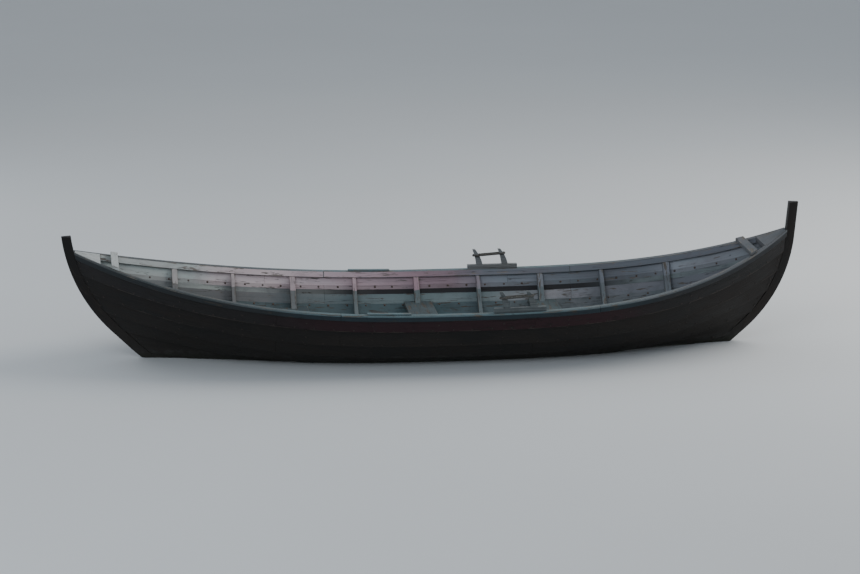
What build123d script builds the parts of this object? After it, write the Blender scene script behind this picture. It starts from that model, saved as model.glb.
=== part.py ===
from build123d import *
import os
from math import asin, cos, hypot, radians, sin, sqrt, tan

# A double-ended clinker rowing boat of the northern Norwegian four-oared kind.
# Millimetres. The origin lies amidships on the waterline, +X to the bow, +Y to port, +Z up.

# Backbone
keel_depth = 180.0
backbone_half = 34.0
band_depth = 65.0
apron_half = 24.0
apron_depth = 34.0
keel_scarf_x = 1330.0
keel_scarf_run = 170.0
seat = 0.3
frame_seat = 0.36

# Stem profiles: length to the foot corner, rake of the lower run, length from the foot to
# the upper corner, rake of the head, the two bend radii, and the height of the head
bow = dict(sign=1, foot_x=1922.0, low_rake=41.0, knee_run=616.0, head_rake=84.7,
           foot_radius=700.0, knee_radius=1010.0, head_z=1000.0)
stern = dict(sign=-1, foot_x=1872.0, low_rake=44.0, knee_run=658.0, head_rake=81.6,
             foot_radius=860.0, knee_radius=1120.0, head_z=872.0)
stem_scarf_z = 150.0
stem_scarf_rise = 90.0
apron_top_bow = 700.0
apron_top_stern = 660.0

# Planking
plank = 14.0
hood_thinning = 5.0
lap = 28.0
lap_gap = 0.3
garboard_tuck = 16.0
garboard_rise = 0.85
hood_overshoot = 18.0
HALVINGS = 40

# One row per plank: width and slope amidships, half breadth and height of its upper edge
# at the bow and stern stems, and how full that edge is in plan
PLANKS = [
    # width, slope, hood half breadth, bow height, stern height, fullness
    (165.0, 14.0, 28.0, 50.0, 45.0, 2.1),
    (160.0, 22.0, 28.0, 220.0, 205.0, 2.3),
    (155.0, 32.0, 29.0, 370.0, 345.0, 2.5),
    (150.0, 43.0, 31.0, 510.0, 475.0, 2.7),
    (145.0, 55.0, 33.0, 650.0, 610.0, 2.9),
    (140.0, 64.0, 33.0, 805.0, 765.0, 3.05),
]
scarf_run = 90.0
SCARFS = [
    # after joint, fore joint
    (-1150.0, 620.0),
    (-720.0, 1070.0),
]
bow_spring = 3.4
stern_spring = 2.4
STATIONS = (0.08, 0.24, 0.4, 0.56, 0.71, 0.84, 0.94)

# Gunwale
inwale_width = 22.0
inwale_depth = 42.0
rail_width = 18.0
rail_depth = 46.0
inwale_short = 181.0
rail_overrun = 5.0

# Crossbeams, thwarts and floorboards
beam_top = 190.0
beam_depth = 48.0
thwart_thick = 24.0
thwart_long = 200.0
thwart_clear = 2.0
notch_clear = 1.0
THWARTS = ("aft", "middle", "fore")
board_width = 100.0
board_gap = 8.0
board_thick = 18.0
board_end_lap = 22.0
bilge_board_thick = 15.0

# End beams and breasthooks
end_beam_back = 281.0
end_beam_long = 50.0
end_beam_deep = 26.0
hook_deep = 36.0
hook_short = 8.0

# Rowlocks
keip_x = 510.0
keip_long = 360.0
keip_wide = 36.0
keip_high = 32.0
horn_spread = 185.0
horn_height = 112.0
horn_root = 46.0
horn_tip = 20.0
horn_lean = 42.0
horn_thick = 26.0
pad_x = -390.0
pad_long = 300.0
pad_high = 12.0
horn_sink = 4.0
painter_z = 610.0
painter_radius = 10.0

# Frames
frame_moulded = 42.0
frame_sided = 40.0
rib_sided = 28.0
frame_head = 34.0
frame_toe = 12.0
head_clear = 1.0
end_frame_floor = 70.0
floor_depth = 14.0
floor_rise = 52.0
floor_reach = 1400.0
end_frame_back_bow = 182.0
end_frame_back_stern = 72.0
FRAMES = [
    # name, place along the boat, thickness, first plank
    ("end_frame_stern", end_frame_back_stern - stern["foot_x"], frame_sided, 3),
    ("rib_1", -1380.0, rib_sided, 1),
    ("frame_aft", -950.0, frame_sided, 1),
    ("rib_2", -500.0, rib_sided, 1),
    ("frame_middle", -50.0, frame_sided, 1),
    ("rib_3", 400.0, rib_sided, 1),
    ("frame_fore", 850.0, frame_sided, 1),
    ("rib_4", 1290.0, rib_sided, 1),
    ("end_frame_bow", bow["foot_x"] - end_frame_back_bow, frame_sided, 3),
]


def turn(vector, angle):
    """A flat vector turned by an angle in radians."""
    c, s = cos(angle), sin(angle)
    return (vector[0] * c - vector[1] * s, vector[0] * s + vector[1] * c)


def add(point, *terms):
    """A flat point moved along scaled directions."""
    y, z = point
    for scale, direction in terms:
        y += scale * direction[0]
        z += scale * direction[1]
    return (y, z)


def on_line(a, b, z):
    """The point of a line at a height."""
    share = (z - a[1]) / (b[1] - a[1])
    return (a[0] + share * (b[0] - a[0]), z)


def up_to(base, up, z):
    """The point at a height, from a base along a direction."""
    return add(base, ((z - base[1]) / up[1], up))


# The backbone's profile, moved inward by a depth
def corners(end, depth):
    """Foot and knee corners and the head's end of one stem, on the positive side."""
    low = radians(end["low_rake"])
    high = radians(end["head_rake"])
    floor = depth - keel_depth
    knee_x = end["foot_x"] + end["knee_run"]
    knee_z = end["knee_run"] * tan(low) - keel_depth
    low_shift = depth / sin(low)
    high_shift = depth / sin(high)
    foot_x = end["foot_x"] + depth / tan(low) - low_shift
    knee_rise = (low_shift - high_shift) / (1 / tan(low) - 1 / tan(high))
    knee = (knee_x - low_shift + knee_rise / tan(low), knee_z + knee_rise)
    top = end["head_z"]
    head_x = knee[0] + (top - knee[1]) / tan(high)
    return (foot_x, floor), knee, (head_x, top)


def stem_x(end, depth, z):
    """Distance from amidships of the profile at a height, bends included."""
    foot, knee, head = corners(end, depth)
    low = radians(end["low_rake"])
    high = radians(end["head_rake"])
    foot_r = end["foot_radius"] - depth
    knee_r = end["knee_radius"] - depth
    foot_run = foot_r * tan(low / 2)
    knee_run = knee_r * tan((high - low) / 2)
    if z <= foot[1] + foot_run * sin(low):
        centre_z = foot[1] + foot_r
        return foot[0] - foot_run + sqrt(max(foot_r**2 - (centre_z - z) ** 2, 0.0))
    if z <= knee[1] - knee_run * sin(low):
        return foot[0] + (z - foot[1]) / tan(low)
    if z <= knee[1] + knee_run * sin(high):
        centre_x = knee[0] + knee_run * cos(high) - knee_r * sin(high)
        centre_z = knee[1] + knee_run * sin(high) + knee_r * cos(high)
        return centre_x + sqrt(max(knee_r**2 - (z - centre_z) ** 2, 0.0))
    return knee[0] + (z - knee[1]) / tan(high)


def profile_z(end, depth, x):
    """Height of the profile at a distance from amidships."""
    low, high = depth - keel_depth, end["head_z"]
    for _ in range(HALVINGS):
        middle = (low + high) / 2
        if stem_x(end, depth, middle) < x:
            low = middle
        else:
            high = middle
    return low


def profile(depth, top):
    """The region inside the backbone's profile, as a flat face, up to a height."""
    points = []
    radii = []
    for end in (stern, bow):
        foot, knee, head = corners(end, depth)
        reach = head[0] + (top - head[1]) / tan(radians(end["head_rake"]))
        row = [(end["sign"] * reach, top), (end["sign"] * knee[0], knee[1])]
        row.append((end["sign"] * foot[0], foot[1]))
        bends = [end["knee_radius"] - depth, end["foot_radius"] - depth]
        points += row if end is stern else row[::-1]
        radii += bends if end is stern else bends[::-1]
    line = FilletPolyline(*points, radius=radii)
    lid = Line(points[-1], points[0])
    return make_face([line, lid])


def slab(face, half):
    """A flat profile given a thickness either side of the centre plane."""
    return extrude(Plane.XZ * face, amount=half, both=True)


# The planks' edges
def edge_end(k, end):
    """Where the upper edge of plank k meets the rabbet."""
    row = PLANKS[k - 1]
    z = row[3] if end is bow else row[4]
    return stem_x(end, band_depth, z), row[2], z


def midship_edges():
    """Half breadth and height of each edge amidships, the keel's first."""
    y, z = backbone_half, band_depth - keel_depth
    edges = [(y, z)]
    for width, slope, *rest in PLANKS:
        y += width * cos(radians(slope))
        z += width * sin(radians(slope))
        edges.append((y, z))
    return edges


MID = midship_edges()


def edge(k, x):
    """Half breadth and height of edge k at a place along the boat."""
    end = bow if x >= 0 else stern
    mid_y, mid_z = MID[k]
    if k == 0:
        rise = profile_z(end, band_depth, abs(x)) - mid_z
        return (mid_y, mid_z + garboard_rise * rise)
    end_x, end_y, end_z = edge_end(k, end)
    share = abs(x) / end_x
    spring = bow_spring if end is bow else stern_spring
    y = end_y + (mid_y - end_y) * (1 - share ** PLANKS[k - 1][5])
    return (y, mid_z + (end_z - mid_z) * share**spring)


def thickness(x):
    """Plank thickness, thinner at the hood ends."""
    reach = edge_end(len(PLANKS), bow)[0]
    return plank - hood_thinning * min(abs(x) / reach, 1.0) ** 6


def direction(k, x):
    """Unit vector up the inner face of plank k, and the one square to it, inward."""
    low, high = edge(k - 1, x), edge(k, x)
    chord = (high[0] - low[0], high[1] - low[1])
    length = hypot(*chord)
    tilt = 0.0 if k == 1 else asin(thickness(x) / length)
    up = turn((chord[0] / length, chord[1] / length), tilt)
    return up, turn(up, radians(90))


def inner_face(k, x):
    """A point on plank k's inner face, beside its lower edge."""
    up, inward = direction(k, x)
    lift = thickness(x) if k == 1 else -lap_gap
    return add(edge(k - 1, x), (lift, inward))


def land(k, x):
    """The upper end of plank k: the land's outer end and the inner face's."""
    up, inward = direction(k, x)
    base = inner_face(k, x)
    if k == len(PLANKS):
        outer = edge(k, x)
        return outer, up_to(base, up, outer[1])
    outer = add(edge(k, x), (lap, direction(k + 1, x)[0]))
    rise = (outer[0] - base[0]) * up[0] + (outer[1] - base[1]) * up[1]
    return outer, add(base, (rise, up))


def plank_section(k, x):
    """The corners of plank k in a cross-section of the boat."""
    up, inward = direction(k, x)
    inner_low = inner_face(k, x)
    outer_low = add(edge(k - 1, x), (0.0 if k == 1 else -thickness(x), inward))
    if k == 1:
        inner_low = add(inner_low, (-garboard_tuck, up))
        outer_low = add(outer_low, (-garboard_tuck, up))
    outer_high, inner_high = land(k, x)
    points = [inner_low, outer_low, edge(k, x)]
    if k < len(PLANKS):
        points.append(outer_high)
    return points + [inner_high]


def both_sides(points):
    """A half outline, from the centre plane out, closed on the other side."""
    return points + [(-y, z) for y, z in points[::-1]]


def section_face(points, x):
    """A cross-section's corners as a face at a place along the boat."""
    return Face(Polyline(*[(x, y, z) for y, z in points], close=True).wire())


def run(section, places, ruled=False):
    """A solid through the cross-sections at the given places."""
    return Solid(loft([section_face(section(x), x) for x in places], ruled=ruled).wrapped)


def stations(start, finish):
    """Places for the cross-sections between two ends."""
    middle = [s * start for s in STATIONS[::-1]] + [s * finish for s in STATIONS]
    return [start] + middle + [finish]


# How far the cutting shapes reach, past everything they cut
clear_height = 1.2 * max(bow["head_z"], stern["head_z"])
clear_half = 1.5 * max(corners(end, 0.0)[2][0] for end in (bow, stern))

# What the planks are trimmed by: the outside of the rabbet, and the apron
wide = Rectangle(2 * clear_half, 2 * clear_half)
outside = slab(wide - profile(band_depth + seat, clear_height), clear_height)
apron_outline = profile(band_depth, clear_height)
apron_face = apron_outline - profile(band_depth + apron_depth + seat, clear_height)
apron_zone = slab(apron_face, apron_half + seat)


def scarf_gap(section, k, x, thick, wide):
    """A thin gap that slants through a plank or a rail, its outer end aft."""
    middles = []
    for place in (x - 1, x, x + 1):
        points = section(place)
        y, z = (sum(p[i] for p in points) / len(points) for i in (0, 1))
        middles.append(Vector(place, y, z))
    up, inward = direction(k, x)
    along = (middles[2] - middles[0]).normalized() * scarf_run + Vector(0, *inward) * thick
    place = Plane(origin=middles[1], x_dir=along, z_dir=along.cross(Vector(0, *up)))
    return place * Box(3 * scarf_run, 3 * wide, lap_gap)


def scarfed(blank, section, k, row, thick, wide):
    """A long piece beside plank k, cut into its lengths by one row of the scarfs."""
    for x in SCARFS[row % len(SCARFS)]:
        blank = blank - scarf_gap(section, k, x, thick, wide)
    return blank


def strake(k):
    """Plank k of the port side in its lengths, trimmed to the rabbet."""
    def section(x):
        return plank_section(k, x)
    start = -edge_end(k, stern)[0] - hood_overshoot
    finish = edge_end(k, bow)[0] + hood_overshoot
    blank = run(section, stations(start, finish)) - outside - apron_zone
    return scarfed(blank, section, k, k, plank, PLANKS[k - 1][0])


def over_edge(k, x):
    """A point just clear of plank k's upper inner corner."""
    up, inward = direction(k, x)
    return add(land(k, x)[1], (frame_seat, inward), (frame_seat, up))


# Inside of the shell, as the frames meet it
def shell_inside(first, x):
    """The line that a frame's outer edge follows, from low to high."""
    points = [] if first == 1 else [over_edge(first - 1, x)]
    for k in range(first, len(PLANKS) + 1):
        up, inward = direction(k, x)
        if k == 1:
            low = inner_face(k, x)
        else:
            below = land(k - 1, x)[0]
            base = inner_face(k, x)
            along = (below[0] - base[0]) * up[0] + (below[1] - base[1]) * up[1]
            low = add(base, (along + frame_seat, up))
        points.append(add(low, (frame_seat, inward)))
        points.append(over_edge(k, x))
    return points


def floor_level(x):
    """Height of the floorboards' underside, which rises towards the ends."""
    return -floor_depth + floor_rise * (x / floor_reach) ** 2


def frame_inside(first, x):
    """The line of the frames' inner edges, from low to high."""
    points = []
    for k in range(first, len(PLANKS)):
        here = direction(k, x)[1]
        above = direction(k + 1, x)[1]
        mean = ((here[0] + above[0]) / 2, (here[1] + above[1]) / 2)
        points.append(add(edge(k, x), (thickness(x) + frame_moulded, mean)))
    up, inward = direction(len(PLANKS), x)
    base = add(inner_face(len(PLANKS), x), (seat, inward))
    head = up_to(base, up, edge(len(PLANKS), x)[1] - inwale_depth - head_clear)
    points.append((head[0] - frame_head, head[1]))
    return points


def frame_section(x, first):
    """Both halves of a frame's outline in a cross-section."""
    outer = shell_inside(first, x)
    if first == 1:
        outer[0] = on_line(outer[0], outer[1], apron_top(x) + seat)
    low_z = floor_level(x) if first == 1 else end_frame_floor + outer[0][1]
    head = edge(len(PLANKS), x)[1] - inwale_depth - head_clear
    outer[-1] = on_line(outer[-2], outer[-1], head)
    inner = [p for p in frame_inside(first, x) if p[1] > low_z + frame_toe]
    foot = on_line(inner[0], inner[1], low_z)
    return both_sides(outer + inner[::-1] + [foot])


def apron_top(x):
    """Height of the apron's inner face at a place along the boat."""
    return profile_z(bow if x >= 0 else stern, band_depth + apron_depth, abs(x))


def inner_edge_y(x, z):
    """Half breadth of a frame's inner edge at a height."""
    points = frame_inside(1, x)
    for low, high in zip(points, points[1:]):
        if low[1] <= z <= high[1]:
            return on_line(low, high, z)[0]
    raise ValueError("no inner edge at this height")


def shell_y(x, z):
    """Half breadth inside the planks at a height."""
    points = shell_inside(1, x)
    for low, high in zip(points, points[1:]):
        if low[1] <= z <= high[1]:
            return on_line(low, high, z)[0]
    raise ValueError("no planking at this height")


# The backbone, cut into its five pieces by flat scarf joints
def half_plane(low, high, side):
    """What lies to one side of a slanting line, seen from starboard."""
    run_x, run_z = high[0] - low[0], high[1] - low[1]
    far = clear_half / hypot(run_x, run_z)
    a = (low[0] - far * run_x, low[1] - far * run_z)
    b = (high[0] + far * run_x, high[1] + far * run_z)
    shift = side * 4 * clear_half
    face = make_face(Polyline(a, b, (b[0] + shift, b[1]), (a[0] + shift, a[1]), close=True))
    return slab(face, 2 * backbone_half)


def scarfs(end):
    """The keel's and the stem's scarf lines at one end, each low point first."""
    sign = end["sign"]
    inner = band_depth + apron_depth
    far_x = keel_scarf_x + keel_scarf_run
    keel_line = [(sign * keel_scarf_x, -keel_depth), (sign * far_x, inner - keel_depth)]
    low_z, high_z = stem_scarf_z - stem_scarf_rise, stem_scarf_z + stem_scarf_rise
    stem_line = [(sign * stem_x(end, 0.0, low_z), low_z), (sign * stem_x(end, inner, high_z), high_z)]
    return keel_line, stem_line


def above(sign, level):
    """All that lies above a level in one half of the boat's length."""
    block = Box(2 * clear_half, 4 * backbone_half, 2 * clear_height)
    return Pos(sign * clear_half, 0, level + clear_height) * block


def backbone():
    """The whole backbone: the outer band and the narrower apron inside it."""
    top = clear_height
    band = slab(profile(0.0, top) - profile(band_depth, top), backbone_half)
    apron = slab(profile(band_depth, top) - profile(band_depth + apron_depth, top), apron_half)
    for end, limit in ((bow, apron_top_bow), (stern, apron_top_stern)):
        apron -= above(end["sign"], limit)
        band -= above(end["sign"], end["head_z"])
    return band + apron


def backbone_pieces():
    """Name and solid of the keel, the two forefeet and the two stems."""
    whole = backbone()
    keel = whole
    pieces = []
    for end, name in ((bow, "bow"), (stern, "stern")):
        sign = end["sign"]
        keel_line, stem_line = scarfs(end)
        outer_keel = half_plane(*keel_line, sign)
        keel -= outer_keel
        stem = whole & half_plane(*stem_line, sign)
        foot = (whole & outer_keel) - half_plane(*stem_line, sign)
        if end is bow:
            hole_x = stem_x(end, band_depth / 2, painter_z)
            stem -= Pos(hole_x, 0, painter_z) * Rot(90, 0, 0) * Cylinder(painter_radius, 4 * backbone_half)
        pieces += [("stem_" + name, stem), ("forefoot_" + name, foot)]
    low_box = Box(2 * clear_half, 4 * backbone_half, 2 * (band_depth + apron_depth))
    keel = keel & Pos(0, 0, -keel_depth) * low_box
    return [("keel", keel)] + pieces


def inwale_section(x):
    """The inwale's corners, its top level with the planking's."""
    top = edge(len(PLANKS), x)[1]
    up, inward = direction(len(PLANKS), x)
    base = add(inner_face(len(PLANKS), x), (seat, inward))
    high = up_to(base, up, top)
    low = up_to(base, up, top - inwale_depth)
    return [high, low, (low[0] - inwale_width, low[1]), (high[0] - inwale_width, high[1])]


def rail_section(x):
    """The outer rail's corners."""
    high = edge(len(PLANKS), x)
    up = direction(len(PLANKS), x)[0]
    low = up_to(high, up, high[1] - rail_depth)
    points = [high, low, (low[0] + rail_width, low[1]), (high[0] + rail_width, high[1])]
    return [(y + seat, z) for y, z in points]


def sheer_reach(end, back):
    """Distance from amidships of a point some way back from the top plank's end."""
    return edge_end(len(PLANKS), end)[0] - back


def inwale():
    """The port inwale, in its lengths."""
    blank = run(inwale_section, stations(-sheer_reach(stern, inwale_short), sheer_reach(bow, inwale_short)))
    return scarfed(blank, inwale_section, len(PLANKS), 1, inwale_width, inwale_depth)


def rail():
    """The port outer rail, in its lengths."""
    places = stations(-sheer_reach(stern, -rail_overrun), sheer_reach(bow, -rail_overrun))
    blank = run(rail_section, places) - outside
    return scarfed(blank, rail_section, len(PLANKS), 1, rail_width, rail_depth)


def frame(x, sided, first):
    """A frame across the boat, its outer edge stepped to the planks."""
    places = (x - sided / 2, x + sided / 2)
    return run(lambda place: frame_section(place, first), places, ruled=True)


def beam(x):
    """A beam across the boat between the two arms of a frame."""
    levels = [beam_top - beam_depth * share for share in (1.0, 0.67, 0.33, 0.0)]

    def section(place):
        ends = [(inner_edge_y(place, z) - seat, z) for z in levels]
        return both_sides(ends)
    return run(section, (x - frame_sided / 2, x + frame_sided / 2), ruled=True)


def thwart(x):
    """A thwart laid on a beam, notched round the frame's arms."""
    half = thwart_long / 2
    neck = frame_sided / 2 + notch_clear
    notch_y = min(inner_edge_y(x + s * neck, beam_top) for s in (-1, 1)) - notch_clear
    side = []
    for place in (x - half, x - neck):
        side.append((place, shell_y(place, beam_top) - thwart_clear))
    side += [(x - neck, notch_y), (x + neck, notch_y)]
    for place in (x + neck, x + half):
        side.append((place, shell_y(place, beam_top) - thwart_clear))
    outline = side + [(place, -y) for place, y in side[::-1]]
    face = make_face(Polyline(*outline, close=True))
    return Pos(0, 0, beam_top) * extrude(face, amount=thwart_thick)


def floor_corner(x):
    """Where the flat floor meets the frames' rising inner edge."""
    low, high = frame_inside(1, x)[:2]
    return on_line(low, high, floor_level(x))


def middle_board(x):
    """The middle floorboard's corners."""
    half = board_width / 2
    low = floor_level(x) + seat
    return both_sides([(half, low), (half, low + board_thick)])


def side_board(x):
    """The corners of the flat board beside the middle one."""
    inner = board_width / 2 + board_gap
    outer = floor_corner(x)[0] - board_gap
    low = floor_level(x) + seat
    return [(inner, low), (outer, low), (outer, low + board_thick), (inner, low + board_thick)]


def bilge_board(x):
    """The corners of the board that lies on the frames' rising edge."""
    low, high = frame_inside(1, x)[:2]
    length = hypot(high[0] - low[0], high[1] - low[1])
    along = ((high[0] - low[0]) / length, (high[1] - low[1]) / length)
    inward = turn(along, radians(90))
    start = add(floor_corner(x), (board_gap, along), (seat, inward))
    finish = add(high, (-board_gap, along), (seat, inward))
    return [start, finish, add(finish, (bilge_board_thick, inward)), add(start, (bilge_board_thick, inward))]


def board(section, after, fore):
    """A floorboard that ends on two of the frames."""
    start, finish = frame_place(after) - board_end_lap, frame_place(fore) + board_end_lap
    return run(section, [start + share * (finish - start) for share in (0.0, 0.25, 0.5, 0.75, 1.0)])


def frame_place(name):
    """Where a named frame stands."""
    return next(row[1] for row in FRAMES if row[0] == name)


def end_beam(end):
    """A short beam laid across the gunwales near a stem."""
    def section(place):
        y, z = edge(len(PLANKS), place)
        return both_sides([(y, z + seat), (y, z + seat + end_beam_deep)])
    middle = sheer_reach(end, end_beam_back)
    places = sorted(end["sign"] * (middle + s * end_beam_long / 2) for s in (-1, 1))
    return run(section, places, ruled=True)


def breasthook(end):
    """The block between the planks and the stem at one end."""
    def section(place):
        top = edge(len(PLANKS), place)[1]
        up, inward = direction(len(PLANKS), place)
        base = add(inner_face(len(PLANKS), place), (seat, inward))
        return both_sides([up_to(base, up, top - hook_deep), up_to(base, up, top)])
    start, finish = sheer_reach(end, inwale_short - seat), sheer_reach(end, hook_short)
    places = [end["sign"] * (start + share * (finish - start)) for share in (0.0, 0.5, 1.0)]
    return run(section, sorted(places)) - outside


def on_gunwale(middle, long, wide, high):
    """A bar that follows the top of the port gunwale."""
    def section(place):
        y, z = edge(len(PLANKS), place)
        low, top = z + seat, z + seat + high
        return [(y - wide, low), (y, low), (y, top), (y - wide, top)]
    return run(section, (middle - long / 2, middle, middle + long / 2))


def horn(x, y, z):
    """One upright horn of a rowlock, curving aft."""
    tip_x = x - horn_lean
    bow_out = horn_lean * 0.12
    root = horn_root / 2
    tip = horn_tip / 2
    high = z + horn_height
    mid = (z + high) / 2
    low = z - horn_sink
    after_x = x - horn_lean / 2 - root * 0.55
    fore_x = x - horn_lean / 2 + root * 0.85 + bow_out
    after = ThreePointArc((x - root, low), (after_x, mid), (tip_x - tip, high))
    fore = ThreePointArc((x + root, low), (fore_x, mid), (tip_x + tip, high))
    cap = Line(after @ 1, fore @ 1)
    foot = Line(fore @ 0, after @ 0)
    face = make_face([after, cap, fore, foot])
    return Pos(0, y, 0) * slab(face, horn_thick / 2)


def keip():
    """The port rowlock: a base along the gunwale with two horns."""
    base = on_gunwale(keip_x, keip_long, keip_wide, keip_high)
    y, z = edge(len(PLANKS), keip_x)
    for s in (-1, 1):
        base += horn(keip_x + s * horn_spread / 2, y - keip_wide / 2, z + seat + keip_high)
    return base


def save(name, shape):
    """Writes one piece, named as its file."""
    shape.label = name
    export_step(shape, "parts/" + name + ".step")


def one(shape):
    """The single solid of a shape."""
    solids = shape.solids()
    return solids[0] if len(solids) == 1 else Compound(children=list(solids))


def save_pair(name, shape):
    """Writes a port piece and its mirror image to starboard."""
    save(name + "_port", one(shape))
    save(name + "_starboard", one(mirror(shape, about=Plane.XZ)))


os.makedirs("parts", exist_ok=True)

for name, piece in backbone_pieces():
    save(name, one(piece))

for k in range(1, len(PLANKS) + 1):
    save_pair("strake_" + str(k), strake(k))

save_pair("inwale", inwale())
save_pair("rail", rail())

for name, x, sided, first in FRAMES:
    save(name, one(frame(x, sided, first)))

for name in THWARTS:
    x = frame_place("frame_" + name)
    save("beam_" + name, one(beam(x)))
    save("thwart_" + name, one(thwart(x)))

save("floorboard_middle", board(middle_board, "rib_1", "rib_4"))
save_pair("floorboard_side", board(side_board, "frame_aft", "frame_fore"))
save_pair("floorboard_bilge", board(bilge_board, "frame_aft", "frame_fore"))

for end, name in ((bow, "bow"), (stern, "stern")):
    save("end_beam_" + name, one(end_beam(end)))
    save("breasthook_" + name, one(breasthook(end)))

save_pair("keip", keip())
save_pair("rowing_pad", on_gunwale(pad_x, pad_long, keip_wide, pad_high))
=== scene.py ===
import random
import bmesh
import bpy
from math import asin, atan2, cos, hypot, pi, radians, sin, tan
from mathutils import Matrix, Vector


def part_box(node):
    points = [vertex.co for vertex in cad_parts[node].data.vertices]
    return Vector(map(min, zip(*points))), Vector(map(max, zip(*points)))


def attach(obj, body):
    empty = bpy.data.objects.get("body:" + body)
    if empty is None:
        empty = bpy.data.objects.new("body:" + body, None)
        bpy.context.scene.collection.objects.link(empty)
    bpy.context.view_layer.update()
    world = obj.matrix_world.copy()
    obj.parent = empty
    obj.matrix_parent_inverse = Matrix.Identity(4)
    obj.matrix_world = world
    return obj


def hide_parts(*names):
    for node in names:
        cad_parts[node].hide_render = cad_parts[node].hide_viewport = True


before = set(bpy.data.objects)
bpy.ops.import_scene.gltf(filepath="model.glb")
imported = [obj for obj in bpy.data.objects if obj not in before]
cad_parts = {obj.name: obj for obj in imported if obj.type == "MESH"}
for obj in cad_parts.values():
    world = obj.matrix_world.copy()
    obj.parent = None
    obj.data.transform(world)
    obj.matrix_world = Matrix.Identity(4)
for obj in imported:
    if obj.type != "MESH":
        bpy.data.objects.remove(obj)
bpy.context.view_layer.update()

# A double-ended clinker rowing boat. Metres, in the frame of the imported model:
# the origin amidships on the waterline, +X to the bow, +Y to port, +Z up.
random.seed(7)

# Camera: the photograph's viewing angle and distance, framed closely
AZIMUTH = -6.8
ELEVATION = 12.6
DISTANCE = 22.2
FOCAL = 132.3
SENSOR = 36.0
TARGET = (-0.027, 0.0, 0.447)

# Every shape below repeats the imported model's. First the backbone
KEEL_DEPTH = 0.180
BACKBONE_HALF = 0.034
BAND_DEPTH = 0.065
APRON_HALF = 0.024
APRON_DEPTH = 0.034
FULL_DEPTH = BAND_DEPTH + APRON_DEPTH
# Corners of its section: depths inside the outer face, and the keel's half widths there
CORNER_DEPTHS = [0.0, 0.006, 0.045, BAND_DEPTH, BAND_DEPTH, FULL_DEPTH]
KEEL_WIDTHS = [0.0285, 0.0325, 0.034, BACKBONE_HALF, APRON_HALF, APRON_HALF - 0.001]
# Beyond the apron's end: the last two half widths and the last corner's depth in the band. The
# apron fades out over the length after them
BAND_WIDTHS = [BACKBONE_HALF - 0.003, BACKBONE_HALF - 0.004]
BAND_LIP = 0.0005
APRON_FADE = 0.06
# Each side of the outer face: how far in it is from the band, its chamfer, and how far out the
# corner behind it lies
FACE_IN = 0.0015
FACE_CHAMFER = 0.004
FACE_FLARE = 0.001
# The outer face's half width up the stem, and the height where that is reached
CUTWATER_HALF = 0.015
CUTWATER_TOP = 0.30
KEEL_SCARF = (1.330, 1.500)
STEM_SCARF = (0.060, 0.240)
SEAT = 0.0003
BOW = dict(sign=1, foot_x=1.922, low_rake=41.0, knee_run=0.616, head_rake=84.7,
           foot_radius=0.700, knee_radius=1.010, head_z=1.000, apron_top=0.700)
STERN = dict(sign=-1, foot_x=1.872, low_rake=44.0, knee_run=0.658, head_rake=81.6,
             foot_radius=0.860, knee_radius=1.120, head_z=0.872, apron_top=0.660)
# A height is looked for along the profile from this far before the foot to this distance
RISE_BACK = 0.6
PATH_END = 4.0

# Planking
PLANK = 0.014
HOOD_THINNING = 0.005
LAP = 0.028
LAP_GAP = 0.0003
GARBOARD_TUCK = 0.016
GARBOARD_RISE = 0.85
GARBOARD_SHORT = 0.004
PLANKS = [
    # width, slope, hood half breadth, bow height, stern height, fullness
    (0.165, 14.0, 0.028, 0.050, 0.045, 2.1),
    (0.160, 22.0, 0.028, 0.220, 0.205, 2.3),
    (0.155, 32.0, 0.029, 0.370, 0.345, 2.5),
    (0.150, 43.0, 0.031, 0.510, 0.475, 2.7),
    (0.145, 55.0, 0.033, 0.650, 0.610, 2.9),
    (0.140, 64.0, 0.033, 0.805, 0.765, 3.05),
]
TOP = len(PLANKS)
BOW_SPRING = 3.4
STERN_SPRING = 2.4
SCARFS = [(-1.150, 0.620), (-0.720, 1.070)]
HALF_LENGTH = 2.6
APRON_FROM = 1.5
# Inside the plank below the top one, as shares from its top: where the darker red (painted shade)
# and the dark band end
LINE_BAND = (0.19, 0.40)
WORN_LAP = 0.0042

# Gunwale, frames and floorboards
INWALE = (0.022, 0.042)
INWALE_SHORT = 0.181
RAIL = (0.018, 0.046)
RAIL_CUT_IN = 0.012
FRAME_MOULDED = 0.042
FRAME_HEAD = 0.034
FRAME_TOE = 0.012
HEAD_CLEAR = 0.001
END_FRAME_FLOOR = 0.070
FLOOR_DEPTH = 0.014
FLOOR_RISE = 0.052
FLOOR_REACH = 1.400
# Each frame's node and the lowest plank that it reaches
FRAMES = [
    ("end_frame_stern", 3), ("rib_1", 1), ("frame_aft", 1), ("rib_2", 1), ("frame_middle", 1),
    ("rib_3", 1), ("frame_fore", 1), ("rib_4", 1), ("end_frame_bow", 3),
]
# Where each begins and ends along the boat
FRAME_PLACES = {node: [corner.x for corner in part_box(node)] for node, first in FRAMES}

# Rowlocks and their straps
KEIP_X = 0.510
KEIP_WIDE = 0.036
KEIP_HIGH = 0.0323
HORN_SPREAD = 0.185
HORN_HEIGHT = 0.112
HORN_LEAN = 0.042
HORN_CURVE = 1.4
HORN_ROOT = 0.046
HORN_TIP = 0.020
HORN_THICK = 0.026
ROPE_RADIUS = 0.0075
ROPE_TURNS = 26
# Each strand's centre and radius, as shares of the rope's radius
STRANDS = 3
STRAND_OUT = 0.5
STRAND_RADIUS = 0.54
ROPE_GRAIN = (0.004, 0.002)
STRAP_HEIGHT = 0.074
STRAP_SLACK = 0.006
STRAP_TILT = 0.006
STRAP_PINCH = 0.35
STRAP_POINTS = 150

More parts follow.
